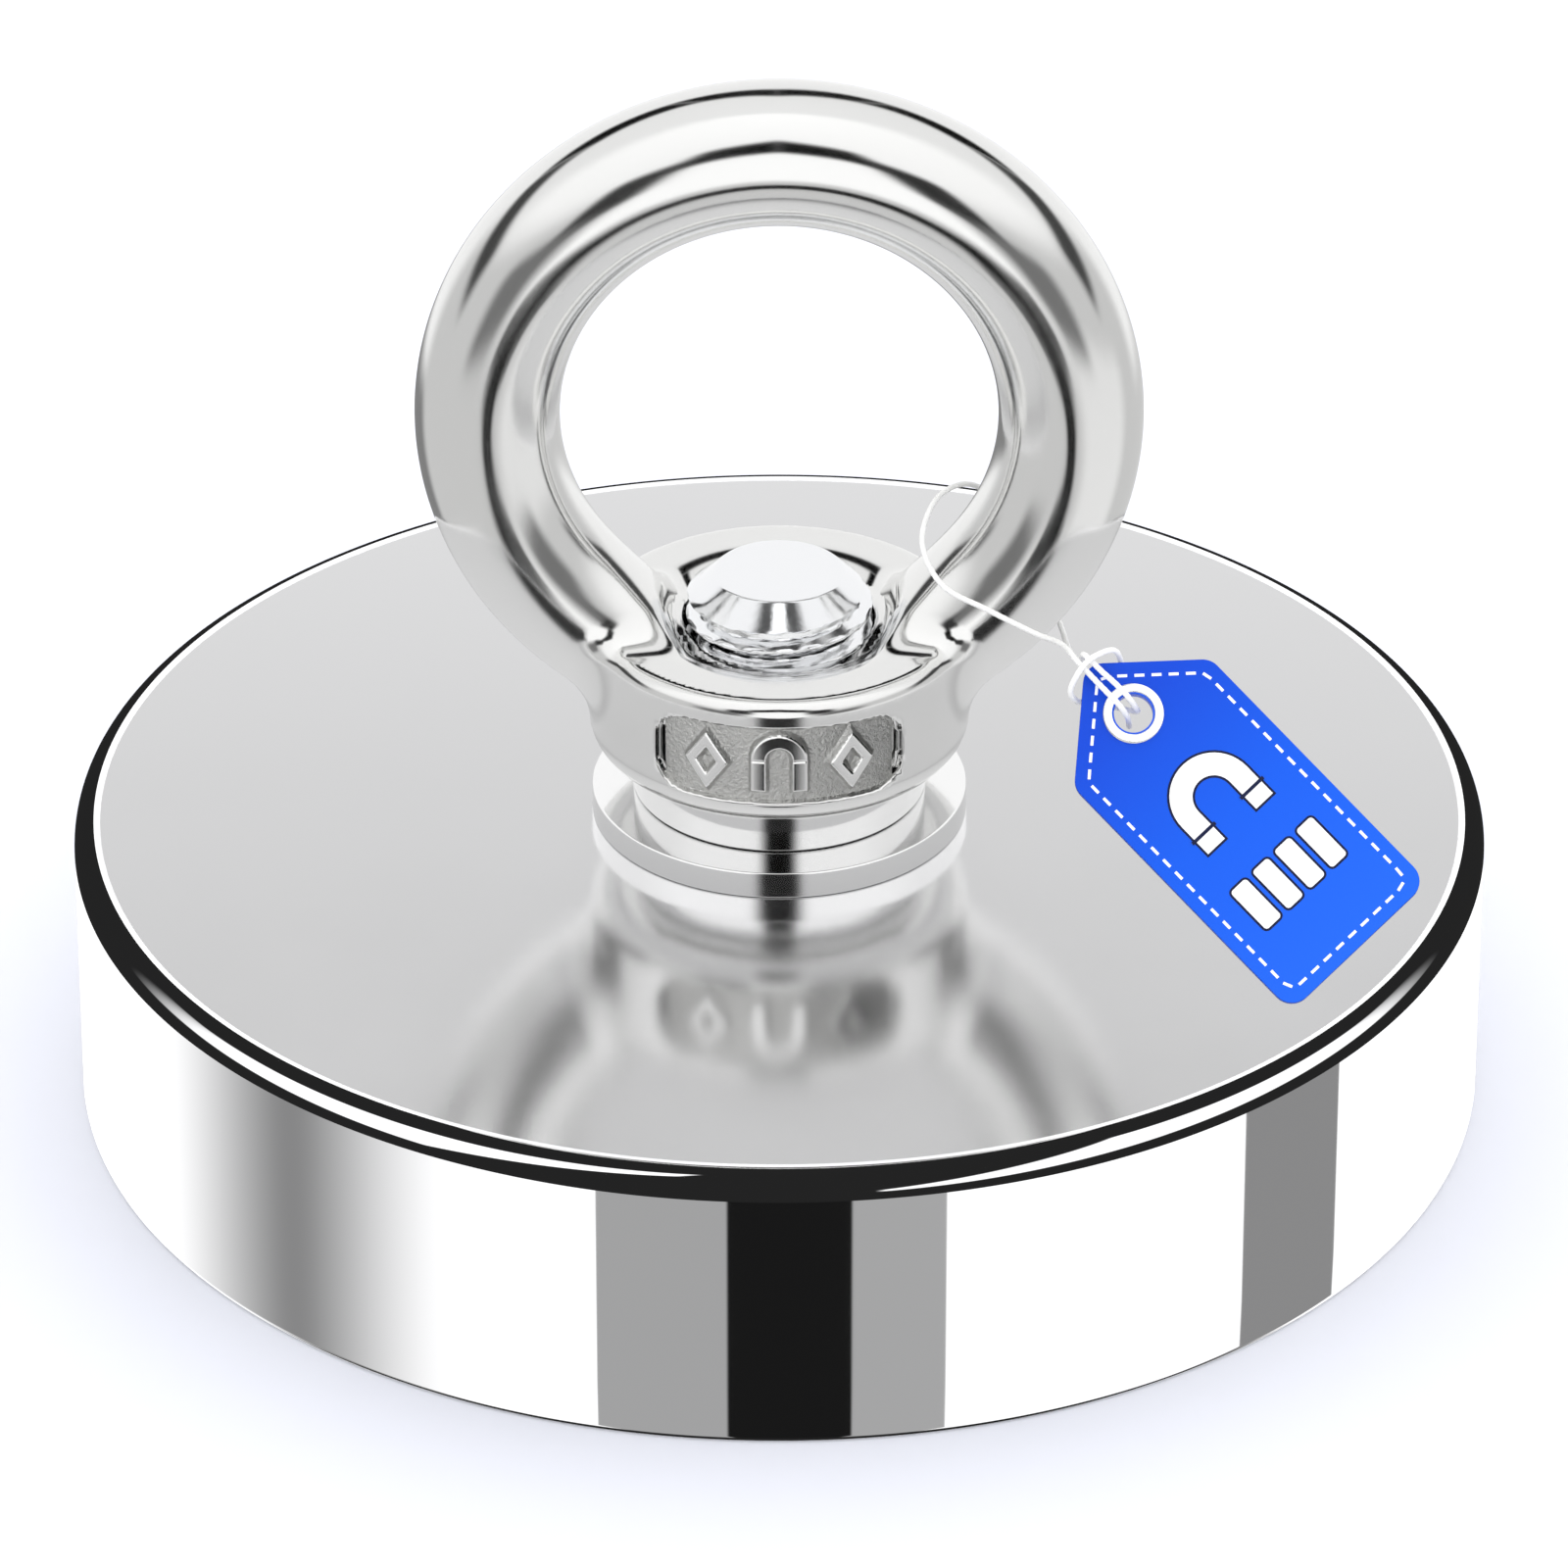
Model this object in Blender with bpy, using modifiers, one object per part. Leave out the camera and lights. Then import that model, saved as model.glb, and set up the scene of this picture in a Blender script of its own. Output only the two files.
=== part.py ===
"""A pot magnet for magnet fishing, with its eye nut, washers and a tag on a string.

Units are metres. The magnet's working face lies on z = 0, the screw's axis is the Z axis, and the
ring of the eye nut stands in the XZ plane. The rope passes through the ring along Y.
"""

import bmesh
import bpy
from math import cos, pi, radians, sin, tan
from mathutils import Matrix, Vector

MM = 0.001
GAP = 0.3 * MM  # clearance kept between touching pieces

# Steel cup
CUP_RADIUS = 60 * MM
CUP_HEIGHT = 25.5 * MM
EDGE_WIDTH = 1.7 * MM  # the rounded top edge, seen from above
EDGE_DROP = 2.3 * MM  # and seen from the side
RIM_CHAMFER = 0.6 * MM
GROOVE_OUTER = 54.5 * MM
GROOVE_INNER = 22 * MM
GROOVE_DEPTH = 15.5 * MM

# Ring magnet and its potting
MAGNET_OUTER = 52 * MM
MAGNET_INNER = 24.5 * MM
MAGNET_RECESS = 0.5 * MM
MAGNET_CHAMFER = 0.8 * MM
POTTING_RECESS = 0.8 * MM
POTTING_HEIGHT = 13 * MM

# Countersunk screw
THREAD_RADIUS = 7.85 * MM
THREAD_PITCH = 2 * MM
HEAD_RADIUS = 15.3 * MM
HEAD_RECESS = 0.8 * MM
HEAD_LAND = 0.4 * MM
SCREW_TOP = CUP_HEIGHT + 22.6 * MM
TIP_FLAT = 5.2 * MM
TIP_CHAMFER = 1.9 * MM
SOCKET_FLATS = 10 * MM
SOCKET_DEPTH = 7.5 * MM

# Washers
WASHER_HOLE = 8.4 * MM
WASHER_RADIUS = 15.9 * MM
WASHER_THICKNESS = 2 * MM
LOCK_RADIUS = 12.4 * MM
LOCK_THICKNESS = 3.5 * MM
LOCK_SLIT = 1.2 * MM
LOCK_SLIT_AT = radians(112)  # the split faces away from the tag
WASHER_EDGE = 0.2 * MM

# Eye nut
COLLAR_RADIUS = 16.1 * MM
COLLAR_BOTTOM = CUP_HEIGHT + 6.4 * MM
COLLAR_TOP = CUP_HEIGHT + 18.6 * MM
COLLAR_BOTTOM_ROUND = 2.2 * MM
COLLAR_TOP_ROUND = 1.1 * MM
RING_CENTRE = CUP_HEIGHT + 37.5 * MM
RING_RADIUS = 24.34 * MM
RING_TUBE = 6.06 * MM
SPOT_FACE_RADIUS = 10.5 * MM
BORE_RADIUS = THREAD_RADIUS + GAP

# Sunk panel on the front of the collar, with raised pips
PANEL_WIDTH = 20.4 * MM
PANEL_HEIGHT = 7 * MM
PANEL_CORNER = 2.6 * MM
PANEL_DEPTH = 0.6 * MM
PANEL_CENTRE = (COLLAR_BOTTOM + COLLAR_TOP) / 2 + 0.2 * MM
PIP_RADIUS = 1.6 * MM
PIP_SPACING = 5.6 * MM

# Tag
TAG_APEX = Vector((25.2, -18.1, 49.2)) * MM
TAG_SLOPE = radians(50)  # of the card's plane, above the horizontal
TAG_LEAN = radians(43.6)  # turned within that plane
TAG_HALF_WIDTH = 7.83 * MM
TAG_SHOULDER = 6.9 * MM
TAG_LENGTH = 32.6 * MM
TAG_THICKNESS = 0.7 * MM
TAG_CORNER = 1.7 * MM
EYELET_BELOW_APEX = 5.8 * MM
EYELET_HOLE = 1.6 * MM
EYELET_WALL = 0.35 * MM
EYELET_FLANGE = 2.5 * MM
EYELET_FLANGE_HEIGHT = 0.4 * MM
TAG_GAP = 0.1 * MM  # clearance between the small pieces of the tag

# String: one closed bight, hitched through the eyelet and round the ring
STRING_DIAMETER = 0.5 * MM
STRING_STEP = 1.4 * MM
FIRST_STRAND = (  # in the tag's frame: across, towards the apex, out of its face
    (-0.55, -6.0, -2.6),
    (-0.55, -5.9, -1.2),
    (-0.5, -5.5, 0.3),
    (-0.5, -4.6, 1.45),
    (-0.5, -3.0, 1.5),
    (-0.45, -1.5, 1.15),
    (-0.42, 0.3, 1.1),
)
ROUND_THE_RING = (  # in the part's frame, above the cup's top
    (23.4, -14.0, 23.3),
    (21.3, -10.0, 22.1),
    (17.4, -7.8, 23.1),
    (13.6, -6.4, 24.7),
    (11.95, -4.0, 27.3),
    (12.9, -0.6, 29.3),
    (15.4, 3.7, 28.8),
    (17.9, 6.9, 26.0),
    (20.0, 7.6, 22.4),
    (22.1, 6.3, 18.6),
    (23.6, 2.4, 16.5),
    (24.3, -3.2, 16.9),
    (24.7, -9.2, 19.3),
    (25.1, -14.2, 21.8),
)
SECOND_STRAND = (
    (0.42, 0.3, 1.1),
    (0.45, -1.5, 1.15),
    (0.5, -3.0, 1.5),
    (0.5, -4.6, 1.45),
    (0.5, -5.5, 0.3),
    (0.55, -5.7, -1.0),
    (-0.1, -4.6, -1.7),
)
HITCH = (
    (-1.3, -2.9, -1.3),
    (-2.5, -1.7, -0.6),
    (-2.5, -0.9, 0.6),
    (-1.3, -0.4, 1.6),
    (0.0, -0.2, 1.9),
    (1.3, -0.4, 1.6),
    (2.5, -0.9, 0.6),
    (2.5, -1.7, -0.6),
    (1.5, -3.0, -1.3),
    (0.9, -4.6, -2.0),
)

TURN_STEPS = 72
SMALL_TURN_STEPS = 48
EYELET_STEPS = 24


def collection(name):
    made = bpy.data.collections.new(name)
    bpy.context.scene.collection.children.link(made)
    return made


def finish_material(name, colour, roughness, metallic):
    """A plain Principled BSDF material with the piece's colour and finish."""
    material = bpy.data.materials.new(name)
    material.use_nodes = True
    shader = material.node_tree.nodes["Principled BSDF"]
    shader.inputs["Base Color"].default_value = (*colour, 1)
    shader.inputs["Roughness"].default_value = roughness
    shader.inputs["Metallic"].default_value = metallic
    return material


def mesh_object(name, mesh, where, material=None):
    obj = bpy.data.objects.new(name, mesh)
    where.objects.link(obj)
    if material:
        mesh.materials.append(material)
    return obj


def arc(centre, width, height, start, end, steps=6):
    """Points on a quarter ellipse round centre, from angle start to end."""
    angles = [start + (end - start) * i / steps for i in range(steps + 1)]
    return [(centre[0] + width * cos(a), centre[1] + height * sin(a)) for a in angles]


def turned(name, profile, where, material=None, closed=True, steps=TURN_STEPS):
    """A profile in the XZ plane, running down its outer side, turned round the Z axis."""
    mesh = bpy.data.meshes.new(name)
    count = len(profile)
    edges = [(i, (i + 1) % count) for i in range(count if closed else count - 1)]
    mesh.from_pydata([(x, 0, z) for x, z in profile], edges, [])
    obj = mesh_object(name, mesh, where, material)
    screw = obj.modifiers.new("turn", "SCREW")
    screw.axis = "Z"
    screw.angle = 2 * pi
    screw.steps = steps
    screw.render_steps = steps
    screw.use_merge_vertices = True
    screw.merge_threshold = 0.00001
    screw.use_smooth_shade = True
    weld = obj.modifiers.new("weld", "WELD")
    weld.merge_threshold = 0.00001
    return obj


def round_bar(name, radius, depth, centre, where, along_y=False, sides=SMALL_TURN_STEPS):
    """A closed cylinder, or a prism when it has few sides, centred on a point."""
    mesh = bpy.data.meshes.new(name)
    shape = bmesh.new()
    bmesh.ops.create_cone(
        shape, cap_ends=True, segments=sides, radius1=radius, radius2=radius, depth=depth
    )
    if along_y:
        bmesh.ops.rotate(shape, verts=shape.verts, matrix=Matrix.Rotation(pi / 2, 3, "X"))
    bmesh.ops.translate(shape, verts=shape.verts, vec=centre)
    shape.to_mesh(mesh)
    shape.free()
    return mesh_object(name, mesh, where)


def boolean(obj, operation, other):
    step = obj.modifiers.new(operation.lower(), "BOOLEAN")
    step.operation = operation
    step.object = other
    step.solver = "EXACT"


def hide_helper(obj):
    obj.hide_render = True
    obj.display_type = "WIRE"


def rounded_outline(corners, radius, steps=4):
    """A convex outline, given anticlockwise, with each corner turned into an arc."""
    points = []
    count = len(corners)
    for i, corner in enumerate(corners):
        here = Vector(corner)
        back = (Vector(corners[i - 1]) - here).normalized()
        ahead = (Vector(corners[(i + 1) % count]) - here).normalized()
        half = back.angle(ahead) / 2
        centre = here + (back + ahead).normalized() * (radius / sin(half))
        first = here + back * (radius / tan(half)) - centre
        sweep = pi - 2 * half
        for k in range(steps + 1):
            turn = Matrix.Rotation(sweep * k / steps, 2)
            points.append(centre + turn @ first)
    return points


def flat_plate(name, outlines, thickness, where, material=None):
    """A flat plate centred on z = 0, cut to the first outline, with the others as holes."""
    curve = bpy.data.curves.new(name, "CURVE")
    curve.dimensions = "2D"
    curve.fill_mode = "BOTH"
    curve.extrude = thickness / 2
    for outline in outlines:
        spline = curve.splines.new("POLY")
        spline.points.add(len(outline) - 1)
        for point, (x, y) in zip(spline.points, outline):
            point.co = (x, y, 0, 1)
        spline.use_cyclic_u = True
    obj = bpy.data.objects.new(name, curve)
    where.objects.link(obj)
    if material:
        curve.materials.append(material)
    return obj


def as_mesh(curve_object, where, material=None):
    """The curve object's evaluated mesh as a mesh object of the same name, with its caps welded."""
    name = curve_object.name
    placed = curve_object.matrix_world.copy()
    graph = bpy.context.evaluated_depsgraph_get()
    mesh = bpy.data.meshes.new_from_object(curve_object.evaluated_get(graph))
    bpy.data.objects.remove(curve_object)
    shape = bmesh.new()
    shape.from_mesh(mesh)
    bmesh.ops.remove_doubles(shape, verts=shape.verts, dist=0.000001)
    shape.to_mesh(mesh)
    shape.free()
    mesh.materials.clear()
    obj = mesh_object(name, mesh, where, material)
    obj.matrix_world = placed
    return obj


# Magnet body


def steel_cup(where, material):
    """The pot: top plate, outer wall and central pole, turned from one bar, with a countersunk bore."""
    hole = THREAD_RADIUS + 2 * GAP
    sink = HEAD_RADIUS + 2 * GAP
    sink_depth = HEAD_RECESS + HEAD_LAND
    edge_centre = (CUP_RADIUS - EDGE_WIDTH, CUP_HEIGHT - EDGE_DROP)
    profile = [
        (hole, CUP_HEIGHT),
        *arc(edge_centre, EDGE_WIDTH, EDGE_DROP, pi / 2, 0),
        (CUP_RADIUS, RIM_CHAMFER),
        (CUP_RADIUS - RIM_CHAMFER, 0),
        (GROOVE_OUTER, 0),
        (GROOVE_OUTER, GROOVE_DEPTH),
        (GROOVE_INNER, GROOVE_DEPTH),
        (GROOVE_INNER, 0),
        (sink, 0),
        (sink, sink_depth),
        (hole, sink_depth + sink - hole),
    ]
    return turned("steel_cup", profile, where, material)


def magnet_ring(where, material):
    """The sintered ring magnet, glued into the groove with its face just below the steel rim."""
    top = GROOVE_DEPTH - GAP
    cut = MAGNET_CHAMFER
    profile = [
        (MAGNET_INNER + cut, top),
        (MAGNET_OUTER - cut, top),
        (MAGNET_OUTER, top - cut),
        (MAGNET_OUTER, MAGNET_RECESS + cut),
        (MAGNET_OUTER - cut, MAGNET_RECESS),
        (MAGNET_INNER + cut, MAGNET_RECESS),
        (MAGNET_INNER, MAGNET_RECESS + cut),
        (MAGNET_INNER, top - cut),
    ]
    return turned("ring_magnet", profile, where, material)


def potting_ring(name, inner, outer, where, material):
    """Resin that fills the gap between the magnet and the steel, dished a little at the face."""
    low = POTTING_RECESS
    high = low + POTTING_HEIGHT
    profile = [(inner, high), (outer, high), (outer, low), ((inner + outer) / 2, low + GAP), (inner, low)]
    return turned(name, profile, where, material)


def socket_screw(where, helpers, material):
    """The countersunk screw: head down in the working face, thread up through the cup and the nut."""
    head_top = HEAD_RECESS + HEAD_LAND
    cone_top = head_top + HEAD_RADIUS - THREAD_RADIUS
    profile = [
        (0, SCREW_TOP),
        (TIP_FLAT, SCREW_TOP),
        (THREAD_RADIUS - 0.6 * MM, SCREW_TOP - TIP_CHAMFER),
        (THREAD_RADIUS, SCREW_TOP - TIP_CHAMFER - THREAD_PITCH / 2),
        (THREAD_RADIUS, cone_top),
        (HEAD_RADIUS, head_top),
        (HEAD_RADIUS, HEAD_RECESS),
        (0, HEAD_RECESS),
    ]
    obj = turned("countersunk_screw", profile, where, material, False, SMALL_TURN_STEPS)
    depth = 2 * SOCKET_DEPTH
    corner = SOCKET_FLATS / 2 / cos(pi / 6)
    cutter = round_bar("socket_cutter", corner, depth, (0, 0, HEAD_RECESS), helpers, sides=6)
    hide_helper(cutter)
    boolean(obj, "DIFFERENCE", cutter)
    return obj


def ring_profile(inner, outer, low, high, edge):
    """The section of a flat ring with its four edges broken."""
    return [
        (inner + edge, high),
        (outer - edge, high),
        (outer, high - edge),
        (outer, low + edge),
        (outer - edge, low),
        (inner + edge, low),
        (inner, low + edge),
        (inner, high - edge),
    ]


def flat_washer(where, material):
    low = CUP_HEIGHT + GAP
    profile = ring_profile(WASHER_HOLE, WASHER_RADIUS, low, low + WASHER_THICKNESS, WASHER_EDGE)
    return turned("flat_washer", profile, where, material)


def lock_washer(where, helpers, material):
    """A spring lock washer, split with a slanted cut."""
    low = CUP_HEIGHT + WASHER_THICKNESS + 2 * GAP
    profile = ring_profile(WASHER_HOLE, LOCK_RADIUS, low, low + LOCK_THICKNESS, WASHER_EDGE)
    obj = turned("lock_washer", profile, where, material, steps=SMALL_TURN_STEPS)
    mesh = bpy.data.meshes.new("split_cutter")
    shape = bmesh.new()
    bmesh.ops.create_cube(shape, size=1)
    size = (LOCK_RADIUS, LOCK_SLIT, 4 * LOCK_THICKNESS)
    bmesh.ops.scale(shape, verts=shape.verts, vec=size)
    bmesh.ops.rotate(shape, verts=shape.verts, matrix=Matrix.Rotation(radians(35), 3, "X"))
    middle = (WASHER_HOLE + LOCK_RADIUS) / 2
    bmesh.ops.translate(shape, verts=shape.verts, vec=(middle, 0, low + LOCK_THICKNESS / 2))
    bmesh.ops.rotate(shape, verts=shape.verts, matrix=Matrix.Rotation(LOCK_SLIT_AT, 3, "Z"))
    shape.to_mesh(mesh)
    shape.free()
    cutter = mesh_object("split_cutter", mesh, helpers)
    hide_helper(cutter)
    boolean(obj, "DIFFERENCE", cutter)
    return obj


# Eye nut


def panel_cutter(helpers):
    """What sinks the front panel to one depth round the collar, and leaves the pips standing."""
    w = PANEL_WIDTH / 2
    h = PANEL_HEIGHT / 2
    outline = rounded_outline([(-w, -h), (w, -h), (w, h), (-w, h)], PANEL_CORNER)
    plate = flat_plate("panel_cutter", [outline], COLLAR_RADIUS, helpers)
    plate.matrix_world = Matrix.Translation((0, -1.1 * COLLAR_RADIUS, PANEL_CENTRE)) @ Matrix.Rotation(
        pi / 2, 4, "X"
    )
    bpy.context.view_layer.update()
    cutter = as_mesh(plate, helpers)
    hide_helper(cutter)
    core_centre = (0, 0, PANEL_CENTRE)
    core_radius = COLLAR_RADIUS - PANEL_DEPTH
    core = round_bar("panel_core", core_radius, 2 * PANEL_HEIGHT, core_centre, helpers, sides=TURN_STEPS)
    hide_helper(core)
    boolean(cutter, "DIFFERENCE", core)
    for i in (-1, 0, 1):
        centre = (i * PIP_SPACING, -COLLAR_RADIUS, PANEL_CENTRE)
        pip = round_bar(f"pip_{i + 2}", PIP_RADIUS, 2 * COLLAR_RADIUS, centre, helpers, True, 16)
        hide_helper(pip)
        boolean(cutter, "DIFFERENCE", pip)
    return cutter


def eye_nut(where, helpers, material):
    """The cast eye nut: a round collar with a threaded bore, and the ring that the rope goes through."""
    low_round = (COLLAR_RADIUS - COLLAR_BOTTOM_ROUND, COLLAR_BOTTOM + COLLAR_BOTTOM_ROUND)
    top_round = (COLLAR_RADIUS - COLLAR_TOP_ROUND, COLLAR_TOP - COLLAR_TOP_ROUND)
    profile = [
        (0, COLLAR_TOP),
        *arc(top_round, COLLAR_TOP_ROUND, COLLAR_TOP_ROUND, pi / 2, 0, 4),
        *arc(low_round, COLLAR_BOTTOM_ROUND, COLLAR_BOTTOM_ROUND, 0, -pi / 2, 5),
        (0, COLLAR_BOTTOM),
    ]
    obj = turned("eye_nut", profile, where, material, False, TURN_STEPS)
    bpy.ops.mesh.primitive_torus_add(
        major_radius=RING_RADIUS, minor_radius=RING_TUBE, major_segments=54, minor_segments=16
    )
    ring = bpy.context.object
    ring.name = "ring_blank"
    for other in list(ring.users_collection):
        other.objects.unlink(ring)
    helpers.objects.link(ring)
    # The small turn keeps the torus's rows of points off the collar's planes.
    turn = Matrix.Rotation(pi / 2, 4, "X") @ Matrix.Rotation(radians(1.3), 4, "Z")
    ring.data.transform(turn)
    ring.location = (0, 0, RING_CENTRE)
    hide_helper(ring)
    boolean(obj, "UNION", ring)
    length = 4 * (COLLAR_TOP - COLLAR_BOTTOM)
    face_height = RING_CENTRE - RING_RADIUS + RING_TUBE + 6 * MM - COLLAR_TOP
    face_centre = (0, 0, COLLAR_TOP + face_height / 2)
    face = round_bar("spot_face_cutter", SPOT_FACE_RADIUS, face_height, face_centre, helpers)
    hide_helper(face)
    boolean(obj, "DIFFERENCE", face)
    bore = round_bar("bore_cutter", BORE_RADIUS, length, (0, 0, COLLAR_BOTTOM), helpers)
    hide_helper(bore)
    boolean(obj, "DIFFERENCE", bore)
    boolean(obj, "DIFFERENCE", panel_cutter(helpers))
    return obj


# Tag and string


def tag_frame():
    """The tag's own axes: X across it, Y towards its apex, Z out of its face, origin at the apex."""
    turn = Matrix.Rotation(TAG_SLOPE, 4, "X") @ Matrix.Rotation(TAG_LEAN, 4, "Z")
    return Matrix.Translation(TAG_APEX) @ turn


def circle_outline(radius, centre_y, sides=EYELET_STEPS):
    angles = [2 * pi * i / sides for i in range(sides)]
    return [(radius * cos(a), centre_y + radius * sin(a)) for a in angles]


def tag_card(where, material):
    """The tag: a five-sided card with rounded corners and a punched hole."""
    corners = [
        (-TAG_HALF_WIDTH, -TAG_LENGTH),
        (TAG_HALF_WIDTH, -TAG_LENGTH),
        (TAG_HALF_WIDTH, -TAG_SHOULDER),
        (0, 0),
        (-TAG_HALF_WIDTH, -TAG_SHOULDER),
    ]
    hole = circle_outline(EYELET_HOLE + EYELET_WALL + TAG_GAP, -EYELET_BELOW_APEX)
    outlines = [rounded_outline(corners, TAG_CORNER), hole]
    return flat_plate("tag_card", outlines, TAG_THICKNESS, where, material)


def tag_eyelet(where, material):
    """The eyelet's flanged tube, pushed through the card from its face."""
    face = TAG_THICKNESS / 2 + TAG_GAP
    barrel = EYELET_HOLE + EYELET_WALL
    crown = face + EYELET_FLANGE_HEIGHT
    profile = [
        (EYELET_HOLE, crown - EYELET_WALL / 2),
        (EYELET_HOLE + EYELET_WALL / 2, crown),
        (EYELET_FLANGE - EYELET_WALL / 2, crown),
        (EYELET_FLANGE, crown - EYELET_WALL / 2),
        (EYELET_FLANGE, face),
        (barrel, face),
        (barrel, -crown),
        (EYELET_HOLE, -crown),
    ]
    return turned("tag_eyelet", profile, where, material, steps=EYELET_STEPS)


def tag_eyelet_washer(where, material):
    """The ring on the card's back that the eyelet's tube is pressed into."""
    high = -TAG_THICKNESS / 2 - TAG_GAP
    inner = EYELET_HOLE + EYELET_WALL + TAG_GAP
    profile = ring_profile(inner, EYELET_FLANGE, high - EYELET_WALL, high, EYELET_WALL / 4)
    return turned("tag_eyelet_washer", profile, where, material, steps=EYELET_STEPS)


def smooth_through(points, step):
    """Points a step apart along a smooth curve through the given ones (centripetal Catmull-Rom)."""
    ends = [2 * points[0] - points[1], *points, 2 * points[-1] - points[-2]]
    dense = []
    for a, b, c, d in zip(ends, ends[1:], ends[2:], ends[3:]):
        t0 = 0
        t1 = t0 + (b - a).length ** 0.5
        t2 = t1 + (c - b).length ** 0.5
        t3 = t2 + (d - c).length ** 0.5
        for k in range(24):
            t = t1 + (t2 - t1) * k / 24
            ab = a.lerp(b, (t - t0) / (t1 - t0))
            bc = b.lerp(c, (t - t1) / (t2 - t1))
            cd = c.lerp(d, (t - t2) / (t3 - t2))
            abc = ab.lerp(bc, (t - t0) / (t2 - t0))
            bcd = bc.lerp(cd, (t - t1) / (t3 - t1))
            dense.append(abc.lerp(bcd, (t - t1) / (t2 - t1)))
    dense.append(points[-1])
    lengths = [0]
    for a, b in zip(dense, dense[1:]):
        lengths.append(lengths[-1] + (b - a).length)
    count = round(lengths[-1] / step)
    spaced = []
    at = 0
    for i in range(count + 1):
        wanted = lengths[-1] * i / count
        while at < len(lengths) - 2 and lengths[at + 1] < wanted:
            at += 1
        share = (wanted - lengths[at]) / (lengths[at + 1] - lengths[at])
        spaced.append(dense[at].lerp(dense[at + 1], share))
    return spaced, lengths[-1]


def string_route():
    """The string's centreline: out of the eyelet, round the ring, back, and hitched over the apex."""
    frame = tag_frame()
    lift = Vector((0, 0, CUP_HEIGHT))
    on_tag = [frame @ (Vector(p) * MM) for p in FIRST_STRAND]
    on_ring = [Vector(p) * MM + lift for p in ROUND_THE_RING]
    back = [frame @ (Vector(p) * MM) for p in SECOND_STRAND + HITCH]
    return smooth_through(on_tag + on_ring + back, STRING_STEP)


def tag_string(where, material):
    route, length = string_route()
    curve = bpy.data.curves.new("tag_string", "CURVE")
    curve.dimensions = "3D"
    curve.bevel_depth = STRING_DIAMETER / 2
    curve.bevel_resolution = 2
    curve.use_fill_caps = True
    spline = curve.splines.new("POLY")
    spline.points.add(len(route) - 1)
    for point, place in zip(spline.points, route):
        point.co = (*place, 1)
    curve.materials.append(material)
    obj = bpy.data.objects.new("tag_string", curve)
    where.objects.link(obj)
    print(f"string: {length * 1000:.1f} mm, {len(route)} points")
    return obj


def tag_pivot(where):
    """An empty on the tag's hinge: the point where the hitch holds its apex."""
    pivot = bpy.data.objects.new("tag_pivot", None)
    where.objects.link(pivot)
    pivot.matrix_world = tag_frame()
    return pivot


def shade(obj):
    """Smooth shading with sharp edges kept, on a piece that is already a mesh."""
    if obj.type == "MESH":
        obj.data.shade_smooth()
        obj.data.set_sharp_from_angle(angle=radians(35))


def main():
    for obj in list(bpy.data.objects):
        bpy.data.objects.remove(obj)
    parts = collection("fishing_magnet")
    helpers = collection("cutters")

    nickel = finish_material("nickel_plated_steel", (0.86, 0.86, 0.87), 0.08, 1)
    magnet_nickel = finish_material("nickel_plated_magnet", (0.62, 0.61, 0.6), 0.25, 1)
    resin = finish_material("potting_resin", (0.03, 0.03, 0.035), 0.4, 0)
    zinc = finish_material("zinc_plated_steel", (0.66, 0.67, 0.68), 0.3, 1)
    stainless = finish_material("polished_stainless", (0.78, 0.78, 0.78), 0.12, 1)
    blue = finish_material("blue_card", (0.01, 0.11, 0.79), 0.4, 0)
    silver = finish_material("eyelet_metal", (0.85, 0.85, 0.86), 0.25, 1)
    white = finish_material("white_string", (0.9, 0.9, 0.9), 0.6, 0)

    steel_cup(parts, nickel)
    magnet_ring(parts, magnet_nickel)
    potting_ring("potting_outer", MAGNET_OUTER + GAP, GROOVE_OUTER - GAP, parts, resin)
    potting_ring("potting_inner", GROOVE_INNER + GAP, MAGNET_INNER - GAP, parts, resin)
    socket_screw(parts, helpers, zinc)
    flat_washer(parts, stainless)
    lock_washer(parts, helpers, stainless)
    eye_nut(parts, helpers, stainless)

    pivot = tag_pivot(parts)
    card = tag_card(parts, blue)
    eyelet = tag_eyelet(parts, silver)
    washer = tag_eyelet_washer(parts, silver)
    for piece in (card, eyelet, washer):
        piece.parent = pivot
    for piece in (eyelet, washer):
        piece.location = (0, -EYELET_BELOW_APEX, 0)
    tag_string(parts, white)
    for obj in parts.objects:
        shade(obj)


main()
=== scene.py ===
# %% [markdown]
# # A magnet fishing magnet
#
# This lesson dresses a packed mechanical model of a pot magnet: a nickel-plated steel cup with its ring
# magnet and screw, two washers, a stainless eye nut, and a blue tag on a string. The model gives every
# place and size. This script gives each piece its final surface, and sets up a small studio to look at it
# in.

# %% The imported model
from math import cos, pi, radians, sin, sqrt, tan

import bmesh
import bpy
import numpy as np
from mathutils import Matrix, Vector


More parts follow.
